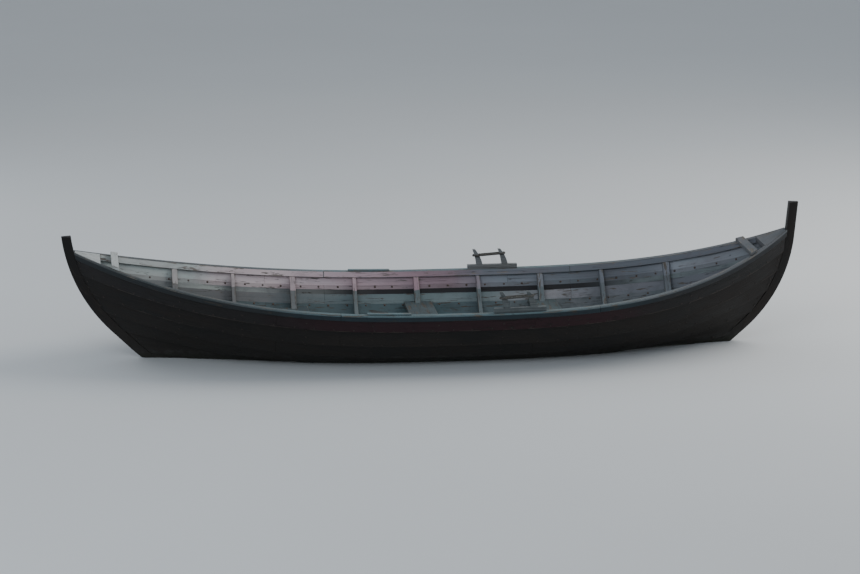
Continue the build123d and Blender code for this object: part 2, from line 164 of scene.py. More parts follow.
# Fastenings: profiles are pairs of radius and height
RIVET_STEP = 0.135
RIVET_STRAY = 0.006
FIRST_RIVET = 0.08
RIVET_HEAD = [(0.0062, 0.0), (0.0058, 0.0012), (0.0036, 0.0022)]
ROVE = [(0.0078, 0.0), (0.0074, 0.0014), (0.0030, 0.0016), (0.0026, 0.0036), (0.0012, 0.0044)]
NAIL_HEAD = [(0.0070, 0.0), (0.0064, 0.0015), (0.0040, 0.0021)]
FRAME_CLEAR = 0.012
FRAME_RIVET_SIZE = 1.1
KEEL_NAILS = 13
KEEL_NAIL_STEP = 1.05 * RIVET_STEP
KEEL_NAIL_STRAY = 0.01
KEEL_NAIL_UP = 0.012
KEEL_NAIL_SIZE = 0.9
HOOD_NAILS = (0.22, 0.5, 0.78)
HOOD_NAIL_IN = 0.028
HOOD_NAIL_SIZE = 0.85
HOOD_SLANT = (0.15, 0.13, 0.085, 0.05, 0.03, 0.018)
FRAME_NAILS = (0.38, 0.74)

# Radius of the rounded edges of each kind of piece
ROUND = dict(plank=0.0016, inwale=0.003, rail=0.004, timber=0.003, frame=0.0035, beam=0.004,
             thwart=0.0035, floorboard=0.0025, end_beam=0.004, breasthook=0.002, keip=0.004,
             pad=0.003)

# Meshes: axes, sections in each length, points taken as one, faces taken as flat (in degrees)
# and how squarely a board's end faces along it
ALONG, ACROSS = 0, 1
SKIN_ROWS = 44
NEAR = 1e-5
FLAT = 0.4
END_FACING = 0.7
# Grain: the reach of its random places, the height and radius of the circle that it follows
# round a frame, and how far off and how short it is drawn on a frame's sides and on ends
GRAIN_SPREAD = 60.0
GRAIN_CENTRE = 0.62
GRAIN_RADIUS = 0.70
GRAIN_APART = 5
END_GRAIN_APART = 3
END_SHRINK = 0.15
CAP_SHRINK = 0.3

# Floor and light
FLOOR_GAP = 0.0015
FLOOR_SIZE = 40.0
FLOOR_STEPS = 120
# Beyond this x the opening is longer too. The rays to the floor's edge fan out by this factor
FLOOR_ENDS = 2.0
FLOOR_FAN = 6.0
FLOOR_COLOUR = (0.62, 0.64, 0.65)
LIGHTS = [
    # name, place, target, diameter, watts, colour
    ("key", (7.5, 2.2, 6.2), (0.0, 0.0, 0.2), 7.0, 620.0, (1.0, 0.96, 0.91)),
    ("fill", (-4.0, -7.0, 6.0), (0.0, 0.0, 0.3), 6.0, 200.0, (0.88, 0.94, 1.0)),
    ("rim", (-7.0, 5.0, 4.0), (0.0, 0.0, 0.4), 4.0, 140.0, (0.90, 0.95, 1.0)),
]
SKY_COLOUR = (0.80, 0.87, 0.95, 1.0)
SKY_POWER = 0.55


def turn(vector, angle):
    """A flat vector turned by an angle in radians."""
    c, s = cos(angle), sin(angle)
    return (vector[0] * c - vector[1] * s, vector[0] * s + vector[1] * c)


def add(point, *terms):
    """A flat point moved along scaled directions."""
    y, z = point
    for scale, direction in terms:
        y += scale * direction[0]
        z += scale * direction[1]
    return (y, z)


def on_line(a, b, z):
    """The point of a line at a height."""
    share = (z - a[1]) / (b[1] - a[1])
    return (a[0] + share * (b[0] - a[0]), z)


def up_to(base, up, z):
    """The point at a height, from a base along a direction."""
    return add(base, ((z - base[1]) / up[1], up))


# The backbone's profile as a path from amidships, by distance along its outer edge
def path_runs(end):
    """The profile's straight runs and bends: pairs of length and radius, zero for a straight."""
    low, high = radians(end["low_rake"]), radians(end["head_rake"])
    foot_run = end["foot_radius"] * tan(low / 2)
    knee_run = end["knee_radius"] * tan((high - low) / 2)
    low_length = end["knee_run"] / cos(low)
    return [
        (end["foot_x"] - foot_run, 0.0),
        (end["foot_radius"] * low, end["foot_radius"]),
        (low_length - foot_run - knee_run, 0.0),
        (end["knee_radius"] * (high - low), end["knee_radius"]),
        (2.0, 0.0),
    ]


def path_point(end, s, depth=0.0):
    """A point at a depth inside the profile, and the profile's direction there."""
    x, z, angle = 0.0, -KEEL_DEPTH, 0.0
    for length, radius in path_runs(end):
        run = min(s, length)
        if radius:
            turned = run / radius
            x += radius * (sin(angle + turned) - sin(angle))
            z += radius * (cos(angle) - cos(angle + turned))
            angle += turned
        else:
            x += run * cos(angle)
            z += run * sin(angle)
        s -= run
        if s <= 0:
            break
    x -= depth * sin(angle)
    z += depth * cos(angle)
    return x, z, angle


def solve(function, low, high):
    """Where a rising function passes zero."""
    for _ in range(50):
        middle = (low + high) / 2
        if function(middle) < 0:
            low = middle
        else:
            high = middle
    return (low + high) / 2


def along_at_z(end, z, depth=0.0):
    """Distance along the path at a height, for the rising part of the profile."""
    return solve(lambda s: path_point(end, s, depth)[1] - z, end["foot_x"] - RISE_BACK, PATH_END)


def stem_x(end, depth, z):
    """Distance from amidships of the profile at a height."""
    return path_point(end, along_at_z(end, z, depth), depth)[0]


def path_height(end, x, depth):
    """Height of the profile, at a depth, at a distance from amidships."""
    s = solve(lambda t: path_point(end, t, depth)[0] - x, 0.0, PATH_END)
    return path_point(end, s, depth)[1]


def rabbet_z(end, x):
    """Height of the rabbet at a distance from amidships."""
    return path_height(end, x, BAND_DEPTH)


def end_at(x):
    """The end that a place along the boat belongs to."""
    return BOW if x >= 0 else STERN


# The planks' edges
HOOD_ENDS = {}


def edge_end(k, end):
    """Where the upper edge of plank k meets the rabbet."""
    key = (k, end["sign"])
    if key not in HOOD_ENDS:
        row = PLANKS[k - 1]
        z = row[3] if end is BOW else row[4]
        HOOD_ENDS[key] = (stem_x(end, BAND_DEPTH, z), row[2], z)
    return HOOD_ENDS[key]


def midship_edges():
    """Half breadth and height of each edge amidships, the keel's first."""
    y, z = BACKBONE_HALF, BAND_DEPTH - KEEL_DEPTH
    edges = [(y, z)]
    for width, slope, *rest in PLANKS:
        y += width * cos(radians(slope))
        z += width * sin(radians(slope))
        edges.append((y, z))
    return edges


MID = midship_edges()


def edge(k, x):
    """Half breadth and height of edge k at a place along the boat."""
    end = end_at(x)
    mid_y, mid_z = MID[k]
    if k == 0:
        return (mid_y, mid_z + GARBOARD_RISE * (rabbet_z(end, abs(x)) - mid_z))
    end_x, end_y, end_z = edge_end(k, end)
    share = abs(x) / end_x
    spring = BOW_SPRING if end is BOW else STERN_SPRING
    y = end_y + (mid_y - end_y) * (1 - share ** PLANKS[k - 1][5])
    return (y, mid_z + (end_z - mid_z) * share**spring)


def thickness(x):
    """Plank thickness, thinner at the hood ends."""
    return PLANK - HOOD_THINNING * min(abs(x) / edge_end(TOP, BOW)[0], 1.0) ** 6


def direction(k, x):
    """Unit vector up the inner face of plank k, and the one square to it, inward."""
    low, high = edge(k - 1, x), edge(k, x)
    chord = (high[0] - low[0], high[1] - low[1])
    length = hypot(*chord)
    tilt = 0.0 if k == 1 else asin(thickness(x) / length)
    up = turn((chord[0] / length, chord[1] / length), tilt)
    return up, turn(up, radians(90))


def inner_face(k, x):
    """A point on plank k's inner face, beside its lower edge."""
    up, inward = direction(k, x)
    lift = thickness(x) if k == 1 else -LAP_GAP
    return add(edge(k - 1, x), (lift, inward))


def land(k, x):
    """The upper end of plank k: the land's outer end and the inner face's."""
    up = direction(k, x)[0]
    base = inner_face(k, x)
    if k == TOP:
        outer = edge(k, x)
        return outer, up_to(base, up, outer[1])
    outer = add(edge(k, x), (LAP, direction(k + 1, x)[0]))
    rise = (outer[0] - base[0]) * up[0] + (outer[1] - base[1]) * up[1]
    return outer, add(base, (rise, up))


def plank_section(k, x):
    """Plank k's corners: inner low, outer low, its edge, the land's end, inner high."""
    up, inward = direction(k, x)
    inner_low = inner_face(k, x)
    outer_low = add(edge(k - 1, x), (0.0 if k == 1 else -thickness(x), inward))
    outer_high, inner_high = land(k, x)
    if k == 1:
        inner_low = add(inner_low, (-GARBOARD_TUCK, up))
        outer_low = add(outer_low, (-GARBOARD_TUCK, up))
        floor_z = rabbet_z(end_at(x), abs(x)) + SEAT
        if inner_low[1] < floor_z:
            inner_low = on_line(inner_low, inner_high, floor_z)
        if outer_low[1] < floor_z:
            outer_low = on_line(outer_low, edge(k, x), floor_z)
    return [inner_low, outer_low, edge(k, x), outer_high, inner_high]


def run_out(end, k, section, corner):
    """Where one corner line of a cross-section ends on the rabbet, near plank k's edge."""
    x = edge_end(k, end)[0]
    for _ in range(12):
        x = stem_x(end, BAND_DEPTH + SEAT, section(end["sign"] * x)[corner][1])
    return x


def hood_place(k, corner, end):
    """Where one corner line of plank k ends."""
    if k == 1:
        return edge_end(k, end)[0] - GARBOARD_SHORT
    return run_out(end, k, lambda x: plank_section(k, x), corner)


def plank_corner(k, x, j):
    """A corner of plank k. The inner face's two are kept off the apron's side."""
    y, z = plank_section(k, x)[j]
    if j in (0, 4) and abs(x) > max(APRON_FROM, stem_x(end_at(x), FULL_DEPTH + SEAT, z)):
        y = max(y, APRON_HALF + SEAT)
    return y, z


# Materials: short ways to write a node tree
class Paint:
    """A material under construction."""

    def __init__(self, name):
        self.material = bpy.data.materials.new(name)
        self.material.use_nodes = True
        self.tree = self.material.node_tree
        self.shader = self.tree.nodes["Principled BSDF"]
        self.uv = self.add("ShaderNodeUVMap").outputs[0]
        self.place = self.add("ShaderNodeTexCoord").outputs["Object"]

    def add(self, kind, inputs=None, **settings):
        node = self.tree.nodes.new(kind)
        for name, value in settings.items():
            setattr(node, name, value)
        for key, value in (inputs or {}).items():
            self.give(node.inputs[key], value)
        return node

    def give(self, socket, value):
        if isinstance(value, bpy.types.NodeSocket):
            self.tree.links.new(value, socket)
        elif isinstance(value, tuple) and len(value) == 3 and socket.type == "RGBA":
            socket.default_value = (*value, 1.0)
        else:
            socket.default_value = value

    def math(self, operation, a, b=0.0, c=0.0, clamp=False):
        inputs = {0: a, 1: b, 2: c}
        return self.add("ShaderNodeMath", inputs, operation=operation, use_clamp=clamp).outputs[0]

    def times(self, a, b, clamp=False):
        return self.math("MULTIPLY", a, b, clamp=clamp)

    def plus(self, a, b):
        return self.math("ADD", a, b)

    def minus(self, a, b, clamp=False):
        return self.math("SUBTRACT", a, b, clamp=clamp)

    def stretch(self, vector, scale, shift=(0, 0, 0)):
        inputs = {"Vector": vector, "Scale": scale, "Location": shift}
        return self.add("ShaderNodeMapping", inputs).outputs[0]

    def noise(self, vector, scale=1.0, detail=3.0, rough=0.55, twist=0.0):
        inputs = {"Vector": vector, "Scale": scale, "Detail": detail, "Roughness": rough,
                  "Distortion": twist}
        return self.add("ShaderNodeTexNoise", inputs).outputs["Fac"]

    def along(self, run, across, detail=3.0, rough=0.55, twist=0.0, shift=(0, 0, 0)):
        """Noise drawn out along the grain: its scale with the grain and across it."""
        vector = self.stretch(self.uv, (run, across, 1.0), shift)
        return self.noise(vector, 1.0, detail, rough, twist)

    def ramp(self, value, *stops):
        """A smooth step or a run of colours: pairs of place and value."""
        node = self.add("ShaderNodeValToRGB", {0: value})
        ramp = node.color_ramp
        while len(ramp.elements) < len(stops):
            ramp.elements.new(0.5)
        for element, (place, colour) in zip(ramp.elements, stops):
            element.position = place
            rgb = colour if isinstance(colour, tuple) else (colour,) * 3
            element.color = (*rgb, 1.0)
        return node.outputs[0]

    def mix(self, share, a, b, kind="MIX"):
        node = self.add("ShaderNodeMix", data_type="RGBA", blend_type=kind)
        self.give(node.inputs[0], share)
        self.give(node.inputs[6], a)
        self.give(node.inputs[7], b)
        return node.outputs[2]

    def bump(self, height, distance, strength=1.0, below=None):
        inputs = {"Height": height, "Distance": distance, "Strength": strength}
        if below is not None:
            inputs["Normal"] = below
        return self.add("ShaderNodeBump", inputs).outputs[0]

    def finish(self, colour, rough, normal):
        self.give(self.shader.inputs["Base Color"], colour)
        self.give(self.shader.inputs["Roughness"], rough)
        self.give(self.shader.inputs["Normal"], normal)
        return self.material


def tinted(colour, share):
    """A colour made darker or lighter by a factor."""
    return tuple(c * share for c in colour)


def grain(p):
    """Streaks, fine fibres, growth bands and cracks along the first UV axis."""
    streaks = p.along(1.3, 34.0, 4.0, 0.6, 0.4)
    fibres = p.along(9.0, 330.0, 3.0, 0.6)
    warp = p.along(1.1, 7.0, 2.0, 0.5)
    across = p.add("ShaderNodeSeparateXYZ", {0: p.uv}).outputs[1]
    phase = p.plus(p.times(across, 420.0), p.times(warp, 46.0))
    bands = p.math("MULTIPLY_ADD", p.math("SINE", phase), 0.5, 0.5)
    split = p.along(0.9, 26.0, 2.0, 0.5, shift=(7.3, 1.9, 0.0))
    cracks = p.ramp(p.math("ABSOLUTE", p.minus(split, 0.5)), (0.0, 1.0), (0.006, 0.0))
    return streaks, fibres, bands, cracks


def knots(p):
    """Dark knots, far apart."""
    stretched = p.stretch(p.uv, (1.6, 6.5, 1.0))
    cells = p.add("ShaderNodeTexVoronoi", {"Vector": stretched, "Scale": 1.0})
    chosen = p.add("ShaderNodeSeparateColor", {0: cells.outputs["Color"]}).outputs[0]
    near = p.ramp(cells.outputs["Distance"], (0.03, 1.0), (0.075, 0.0))
    return p.times(near, p.math("GREATER_THAN", chosen, 0.55))


def bare_wood(name, dark, light, grey, rough=0.72):
    """Weathered wood with open grain, cracks and knots."""
    p = Paint(name)
    streaks, fibres, bands, cracks = grain(p)
    tone = p.plus(p.times(streaks, 0.55), p.times(bands, 0.22))
    tone = p.plus(tone, p.times(fibres, 0.25))
    colour = p.ramp(tone, (0.28, dark), (0.62, light))
    patches = p.along(1.4, 5.0, 4.0, 0.6, shift=(3.1, 0.0, 0.0))
    colour = p.mix(p.ramp(patches, (0.40, 0.0), (0.64, 0.85)), colour, grey)
    colour = p.mix(p.times(knots(p), 0.75), colour, tinted(dark, 0.3))
    colour = p.mix(p.times(cracks, 0.85), colour, tinted(dark, 0.15))
    stain = p.noise(p.place, 5.5, 5.0, 0.65, 0.8)
    colour = p.mix(p.ramp(stain, (0.52, 0.0), (0.72, 0.5)), colour, tinted(dark, 0.45))
    height = p.plus(p.times(bands, 0.35), p.times(fibres, 0.8))
    height = p.minus(height, p.times(cracks, 2.0))
    roughness = p.ramp(streaks, (0.3, rough + 0.12), (0.7, rough - 0.08))
    return p.finish(colour, roughness, p.bump(height, 0.0012, 0.9))


def hull_share(x):
    """A place along the boat as a ramp's place, from the stern at zero to the bow at one."""
    return 0.5 + 0.5 * x / HALF_LENGTH


def along_hull(p, run):
    """A colour that changes along the boat, with a wandering border: pairs of x and colour."""
    x = p.add("ShaderNodeSeparateXYZ", {0: p.place}).outputs[0]
    wander = p.minus(p.noise(p.place, 1.7, 3.0), 0.5)
    moved = p.plus(x, p.times(wander, 0.7))
    share = p.math("MULTIPLY_ADD", moved, 0.5 / HALF_LENGTH, 0.5)
    return p.ramp(share, *[(hull_share(x), colour) for x, colour in run])


def above_band(p):
    """One above the top plank's lower edge, zero below it."""
    x, y, z = p.add("ShaderNodeSeparateXYZ", {0: p.place}).outputs
    share = p.math("MULTIPLY_ADD", x, 0.5 / HALF_LENGTH, 0.5)
    places = [HALF_LENGTH * (i / 8 - 1) for i in range(17)]
    line = p.ramp(share, *[(hull_share(x), edge(TOP - 1, x)[1]) for x in places])
    wander = p.times(p.minus(p.noise(p.place, 9.0, 3.0), 0.5), 0.03)
    return p.times(p.plus(p.minus(z, line), wander), 250.0, clamp=True)


def painted_wood(name, paint, worn, wood, peel=0.62, rough=0.6, dirt=0.4, run=None, sheen=0.35,
                 head_run=None):
    """Old oil paint over wood: chalked, scuffed, worn through along the grain.

    run changes the paint along the boat, and head_run the paint beside the top plank.
    """
    p = Paint(name)
    streaks, fibres, bands, cracks = grain(p)
    base = along_hull(p, run) if run else paint
    if head_run:
        base = p.mix(above_band(p), base, along_hull(p, head_run))
    chalk = p.along(2.2, 9.0, 5.0, 0.62, 0.5)
    lift = p.mix(1.0, base, tuple(w / max(c, 0.01) for w, c in zip(worn, paint)), "MULTIPLY")
    colour = p.mix(p.ramp(chalk, (0.36, 0.0), (0.68, 0.7)), base, lift)
    colour = p.mix(p.times(streaks, 0.22), colour, tinted(worn, 0.5))
    patch = p.along(6.0, 34.0, 6.0, 0.62, 0.3, shift=(1.7, 4.4, 0.0))
    fine = p.along(16.0, 170.0, 3.0, 0.6)
    lost = p.math("MULTIPLY_ADD", p.minus(fine, 0.5), 0.3, patch)
    lost = p.ramp(lost, (peel, 0.0), (peel + 0.03, 1.0))
    under = p.ramp(p.plus(p.times(streaks, 0.6), p.times(bands, 0.25)),
                   (0.25, tinted(wood, 0.55)), (0.6, wood))
    colour = p.mix(lost, colour, under)
    colour = p.mix(p.times(cracks, 0.7), colour, tinted(wood, 0.12))
    grime = p.noise(p.place, 7.0, 5.0, 0.65, 0.6)
    colour = p.mix(p.ramp(grime, (0.5, 0.0), (0.75, dirt)), colour, tinted(worn, 0.3))
    height = p.math("MULTIPLY_ADD", fibres, 0.35, p.times(lost, -1.0))
    height = p.math("MULTIPLY_ADD", cracks, -1.5, height)
    roughness = p.ramp(chalk, (0.35, rough - 0.1), (0.7, rough + 0.18))
    p.give(p.shader.inputs["Specular IOR Level"], sheen)
    return p.finish(colour, roughness, p.bump(height, 0.0007, 0.8))


def tarred_wood(name, tar=(0.0110, 0.0103, 0.0100), brown=(0.021, 0.0158, 0.0133),
                worn=(0.050, 0.041, 0.034), bare=0.66, rough=0.52):
    """Pine tar on wood: nearly black, browner where thin, rubbed off on the high grain.

    It is painted lighter and greyer low down, as painted light thrown up from the water, with slime
    and a line of salt at the waterline that are also set lighter as painted light.
    """
    p = Paint(name)
    streaks, fibres, bands, cracks = grain(p)
    coats = p.along(1.8, 6.0, 5.0, 0.6, 0.6)
    colour = p.mix(p.ramp(coats, (0.38, 0.0), (0.72, 1.0)), tar, brown)
    rub = p.along(3.0, 30.0, 6.0, 0.7, 0.4, shift=(2.2, 8.1, 0.0))
    rub = p.plus(rub, p.times(p.minus(fibres, 0.5), 0.3))
    rub = p.ramp(rub, (bare, 0.0), (bare + 0.09, 0.8))
    colour = p.mix(rub, colour, worn)
    colour = p.mix(p.times(bands, 0.25), colour, tinted(tar, 0.55))
    z = p.add("ShaderNodeSeparateXYZ", {0: p.place}).outputs[2]
    gloss = p.ramp(coats, (0.3, rough - 0.14), (0.75, rough + 0.22))
    # Low down the tar is lightened towards grey: painted light thrown up from the water onto the
    # planks that face down
    low = p.ramp(p.times(z, 2.2), (0.0, 0.85), (1.0, 0.0))
    painted_bounce = p.ramp(coats, (0.3, (0.024, 0.0225, 0.0205)), (0.7, (0.036, 0.032, 0.028)))
    colour = p.mix(low, colour, painted_bounce)
    drift = p.times(p.minus(p.noise(p.place, 9.0, 4.0, 0.6), 0.5), 0.05)
    level = p.plus(z, drift)
    # Slime and salt at the waterline, their colours set lighter as painted light near the floor
    slime = p.ramp(p.times(level, 4.0), (0.02, 1.0), (0.22, 0.0))
    slime = p.times(slime, p.ramp(p.noise(p.place, 38.0, 4.0), (0.35, 0.25), (0.65, 0.8)))
    colour = p.mix(slime, colour, (0.026, 0.030, 0.021))
    salt = p.math("ABSOLUTE", p.minus(level, 0.052))
    salt = p.ramp(p.times(salt, 20.0), (0.0, 0.5), (0.55, 0.0))
    salt = p.times(salt, p.ramp(p.noise(p.place, 21.0, 5.0, 0.7), (0.42, 0.0), (0.7, 0.7)))
    colour = p.mix(salt, colour, (0.095, 0.096, 0.093))
    wet = p.ramp(p.times(level, 8.0), (0.05, 0.28), (0.3, 0.0))
    gloss = p.minus(gloss, wet, clamp=True)
    p.give(p.shader.inputs["Specular IOR Level"], 0.2)
    height = p.plus(p.times(bands, 0.2), p.times(fibres, 0.6))
    height = p.minus(height, p.times(cracks, 1.2))
    normal = p.bump(p.along(14.0, 60.0, 3.0, 0.5), 0.0016, 0.5)
    return p.finish(colour, gloss, p.bump(height, 0.0008, 0.8, normal))


def iron(name, dark, rust):
    """Forged iron under tar, rusting."""
    p = Paint(name)
    spots = p.noise(p.place, 160.0, 4.0, 0.65)
    colour = p.mix(p.ramp(spots, (0.4, 0.0), (0.62, 1.0)), dark, rust)
    return p.finish(colour, p.ramp(spots, (0.3, 0.55), (0.7, 0.85)), p.bump(spots, 0.0006, 0.8))


def rope_fibre(name, dark, light):
    """Twisted hemp."""
    p = Paint(name)
    hairs = p.along(60.0, 900.0, 3.0, 0.6)
    patches = p.noise(p.place, 30.0, 4.0, 0.6)
    colour = p.mix(p.ramp(hairs, (0.3, 0.0), (0.7, 1.0)), dark, light)
    colour = p.mix(p.ramp(patches, (0.45, 0.0), (0.7, 0.6)), colour, tinted(dark, 0.5))
    return p.finish(colour, 0.9, p.bump(hairs, 0.0006, 0.9))


# Paint along the boat: pairs of x and colour. The ends have faded to grey. Forward of the rowlocks
# the red turns blue-grey and darker: painted shade on the inside faces that look away from the
# light
INWALE_RUN = [
    (-2.3, (0.42, 0.435, 0.43)), (-1.7, (0.46, 0.475, 0.47)), (-1.52, (0.56, 0.49, 0.50)),
    (-1.25, (0.66, 0.53, 0.55)), (-0.6, (0.55, 0.40, 0.445)), (0.05, (0.36, 0.235, 0.275)),
    (0.34, (0.27, 0.18, 0.215)), (0.48, (0.17, 0.18, 0.213)), (1.2, (0.132, 0.147, 0.175)),
    (2.2, (0.145, 0.16, 0.19))]
# The top plank's red, lighter than the inwale's amidships: painted light lifting the inwale's
# shadow on the plank
TOP_RUN = [
    (-2.3, (0.37, 0.385, 0.38)), (-1.7, (0.41, 0.43, 0.425)), (-1.52, (0.56, 0.48, 0.49)),
    (-1.25, (0.68, 0.54, 0.56)), (-0.6, (0.58, 0.435, 0.475)), (-0.2, (0.46, 0.33, 0.37)),
    (0.05, (0.41, 0.28, 0.325)), (0.34, (0.355, 0.245, 0.285)), (0.48, (0.27, 0.285, 0.33)),
    (0.9, (0.195, 0.222, 0.26)), (1.3, (0.125, 0.138, 0.162)), (1.6, (0.175, 0.19, 0.222)),
    (1.85, (0.34, 0.362, 0.41)), (2.3, (0.26, 0.275, 0.31))]
# The top of the plank below: the top plank's red, darker, as painted shade
SHADED_NEXT_RUN = [(x, tinted(colour, 0.62)) for x, colour in TOP_RUN]
TEAL_RUN = [
    (-1.9, (0.075, 0.082, 0.085)), (-1.1, (0.120, 0.128, 0.134)), (-0.6, (0.120, 0.162, 0.172)),
    (0.0, (0.150, 0.210, 0.220)), (0.5, (0.140, 0.190, 0.202)), (0.85, (0.245, 0.26, 0.285)),
    (1.4, (0.135, 0.15, 0.175))]
BILGE_RUN = [
    (-2.3, (0.050, 0.060, 0.063)), (-1.0, (0.048, 0.076, 0.084)), (0.2, (0.044, 0.084, 0.096)),
    (0.9, (0.088, 0.110, 0.122)), (1.6, (0.10, 0.117, 0.132)), (2.3, (0.07, 0.082, 0.093))]
# The dark band below the lap inside: dark amidships, lighter towards the ends
DARK_BAND_RUN = [
    (-1.1, (0.15, 0.16, 0.165)), (-0.65, (0.045, 0.047, 0.05)), (-0.3, (0.014, 0.013, 0.016)),
    (1.15, (0.014, 0.014, 0.017)), (1.5, (0.07, 0.08, 0.09)), (1.9, (0.12, 0.14, 0.155))]
RAIL_RUN = [
    (-2.3, (0.056, 0.062, 0.064)), (-1.5, (0.054, 0.066, 0.070)), (-1.1, (0.072, 0.104, 0.114)),
    (-0.75, (0.092, 0.150, 0.167)), (0.7, (0.090, 0.150, 0.168)), (1.2, (0.098, 0.125, 0.137)),
    (1.8, (0.086, 0.098, 0.110)), (2.4, (0.080, 0.088, 0.098))]
# The rail below its cut-in, outer face, underside and inner face: its teal much darker, as painted
# shade
SHADED_RAIL_SIDE_RUN = [
    (-1.3, (0.015, 0.018, 0.020)), (-0.8, (0.014, 0.026, 0.034)), (1.2, (0.014, 0.026, 0.034)),
    (1.6, (0.016, 0.018, 0.021))]
MAROON_RUN = [
    (-1.35, (0.0140, 0.0118, 0.0118)), (-0.75, (0.024, 0.0085, 0.0110)),
    (1.15, (0.026, 0.0085, 0.0112)), (1.55, (0.0135, 0.0118, 0.0118))]
FRAME_RUN = [
    (-1.9, (0.132, 0.132, 0.134)), (-1.1, (0.128, 0.131, 0.134)), (-0.5, (0.118, 0.144, 0.151)),
    (0.1, (0.108, 0.142, 0.150)), (0.6, (0.105, 0.135, 0.148)), (1.8, (0.125, 0.142, 0.160))]
# The frame heads' red, with the same painted shade forward of the rowlocks
FRAME_HEAD_RUN = [
    (-2.3, (0.28, 0.28, 0.285)), (-1.8, (0.33, 0.32, 0.315)), (-1.1, (0.375, 0.315, 0.33)),
    (-0.5, (0.40, 0.30, 0.332)), (0.05, (0.34, 0.23, 0.27)), (0.34, (0.29, 0.20, 0.235)),
    (0.48, (0.20, 0.212, 0.243)), (1.2, (0.13, 0.148, 0.175)), (1.8, (0.18, 0.198, 0.23))]

# Outside
TAR = tarred_wood("tar_planks")
TAR_LAP = tarred_wood(
    "tar_worn_lap", (0.018, 0.0165, 0.0155), (0.036, 0.029, 0.0245), (0.085, 0.072, 0.060),
    bare=0.50, rough=0.62)
TAR_TIMBER = tarred_wood("tar_timber", brown=(0.020, 0.015, 0.0125), bare=0.60)
TAR_EDGE = tarred_wood(
    "tar_worn_edge", brown=(0.026, 0.020, 0.017), worn=(0.070, 0.058, 0.048), bare=0.50)
MAROON = painted_wood(
    "maroon_paint", (0.024, 0.0085, 0.0110), (0.030, 0.0165, 0.0175), (0.020, 0.016, 0.014),
    rough=0.52, sheen=0.25, run=MAROON_RUN)
MAROON_LAP = painted_wood(
    "maroon_worn_lap", (0.034, 0.016, 0.018), (0.048, 0.030, 0.029), (0.075, 0.062, 0.052),
    peel=0.48, sheen=0.25, run=MAROON_RUN)
RAIL_PAINT = painted_wood(
    "rail_paint", (0.092, 0.150, 0.167), (0.157, 0.215, 0.230), (0.15, 0.135, 0.115),
    peel=0.57, rough=0.62, run=RAIL_RUN)
RAIL_EDGE = painted_wood(
    "rail_worn_edge", (0.092, 0.150, 0.167), (0.175, 0.222, 0.232), (0.21, 0.19, 0.16),
    peel=0.50, rough=0.66, run=RAIL_RUN)
SHADED_RAIL_SIDE = painted_wood(
    "rail_side_painted_shade", (0.014, 0.026, 0.034), (0.024, 0.040, 0.050), (0.05, 0.042, 0.034),
    peel=0.60, rough=0.55, sheen=0.3, run=SHADED_RAIL_SIDE_RUN)

# Inside
TOP_PAINT = painted_wood(
    "faded_red_paint", (0.40, 0.28, 0.29), (0.46, 0.37, 0.375), (0.22, 0.20, 0.185),
    rough=0.66, dirt=0.3, run=TOP_RUN)
SHADED_NEXT_PAINT = painted_wood(
    "faded_red_low_shade", (0.25, 0.17, 0.18), (0.29, 0.225, 0.23), (0.15, 0.135, 0.125),
    peel=0.60, rough=0.66, run=SHADED_NEXT_RUN)
DARK_BAND = painted_wood(
    "dark_lap_band", (0.020, 0.019, 0.022), (0.05, 0.048, 0.05), (0.05, 0.045, 0.04),
    rough=0.75, run=DARK_BAND_RUN)
TEAL = painted_wood(
    "grey_teal_paint", (0.110, 0.155, 0.165), (0.175, 0.215, 0.22), (0.125, 0.11, 0.095),
    peel=0.60, rough=0.66, run=TEAL_RUN)
BILGE = painted_wood(
    "bilge_paint", (0.045, 0.083, 0.094), (0.079, 0.120, 0.130), (0.070, 0.062, 0.053),
    peel=0.58, rough=0.62, dirt=0.6, run=BILGE_RUN)
INWALE_PAINT = painted_wood(
    "inwale_paint", (0.40, 0.28, 0.29), (0.45, 0.36, 0.365), (0.24, 0.21, 0.19),
    peel=0.58, rough=0.64, run=INWALE_RUN)
PALE_PAINT = painted_wood(
    "pale_grey_paint", (0.43, 0.45, 0.44), (0.52, 0.535, 0.53), (0.26, 0.24, 0.215),
    peel=0.60, rough=0.66, dirt=0.3)
PALE_EDGE = painted_wood(
    "pale_worn_edge", (0.43, 0.45, 0.44), (0.54, 0.55, 0.54), (0.30, 0.275, 0.24),
    peel=0.52, rough=0.66, dirt=0.3)
FRAME_PAINT = painted_wood(
    "frame_paint", (0.12, 0.14, 0.145), (0.165, 0.185, 0.19), (0.13, 0.115, 0.10),
    peel=0.57, rough=0.68, run=FRAME_RUN, head_run=FRAME_HEAD_RUN)
FRAME_EDGE = painted_wood(
    "frame_worn_edge", (0.12, 0.14, 0.145), (0.18, 0.195, 0.195), (0.18, 0.16, 0.135),
    peel=0.50, rough=0.68, run=FRAME_RUN, head_run=FRAME_HEAD_RUN)
THWART_PAINT = painted_wood(
    "thwart_paint", (0.044, 0.065, 0.072), (0.072, 0.093, 0.098), (0.085, 0.075, 0.062),
    peel=0.56, rough=0.62)
THWART_EDGE = painted_wood(
    "thwart_worn_edge", (0.062, 0.080, 0.086), (0.098, 0.114, 0.116), (0.13, 0.115, 0.095),
    peel=0.46)
FLOOR_WOOD = bare_wood(
    "floorboard_wood", (0.050, 0.041, 0.032), (0.14, 0.118, 0.092), (0.115, 0.11, 0.10))

# Rowlocks and fastenings
KEIP_WOOD = bare_wood(
    "rowlock_wood", (0.092, 0.095, 0.097), (0.22, 0.225, 0.22), (0.225, 0.24, 0.25), 0.62)
KEIP_EDGE = bare_wood(
    "rowlock_worn_edge", (0.11, 0.11, 0.106), (0.255, 0.255, 0.242), (0.24, 0.25, 0.255), 0.62)
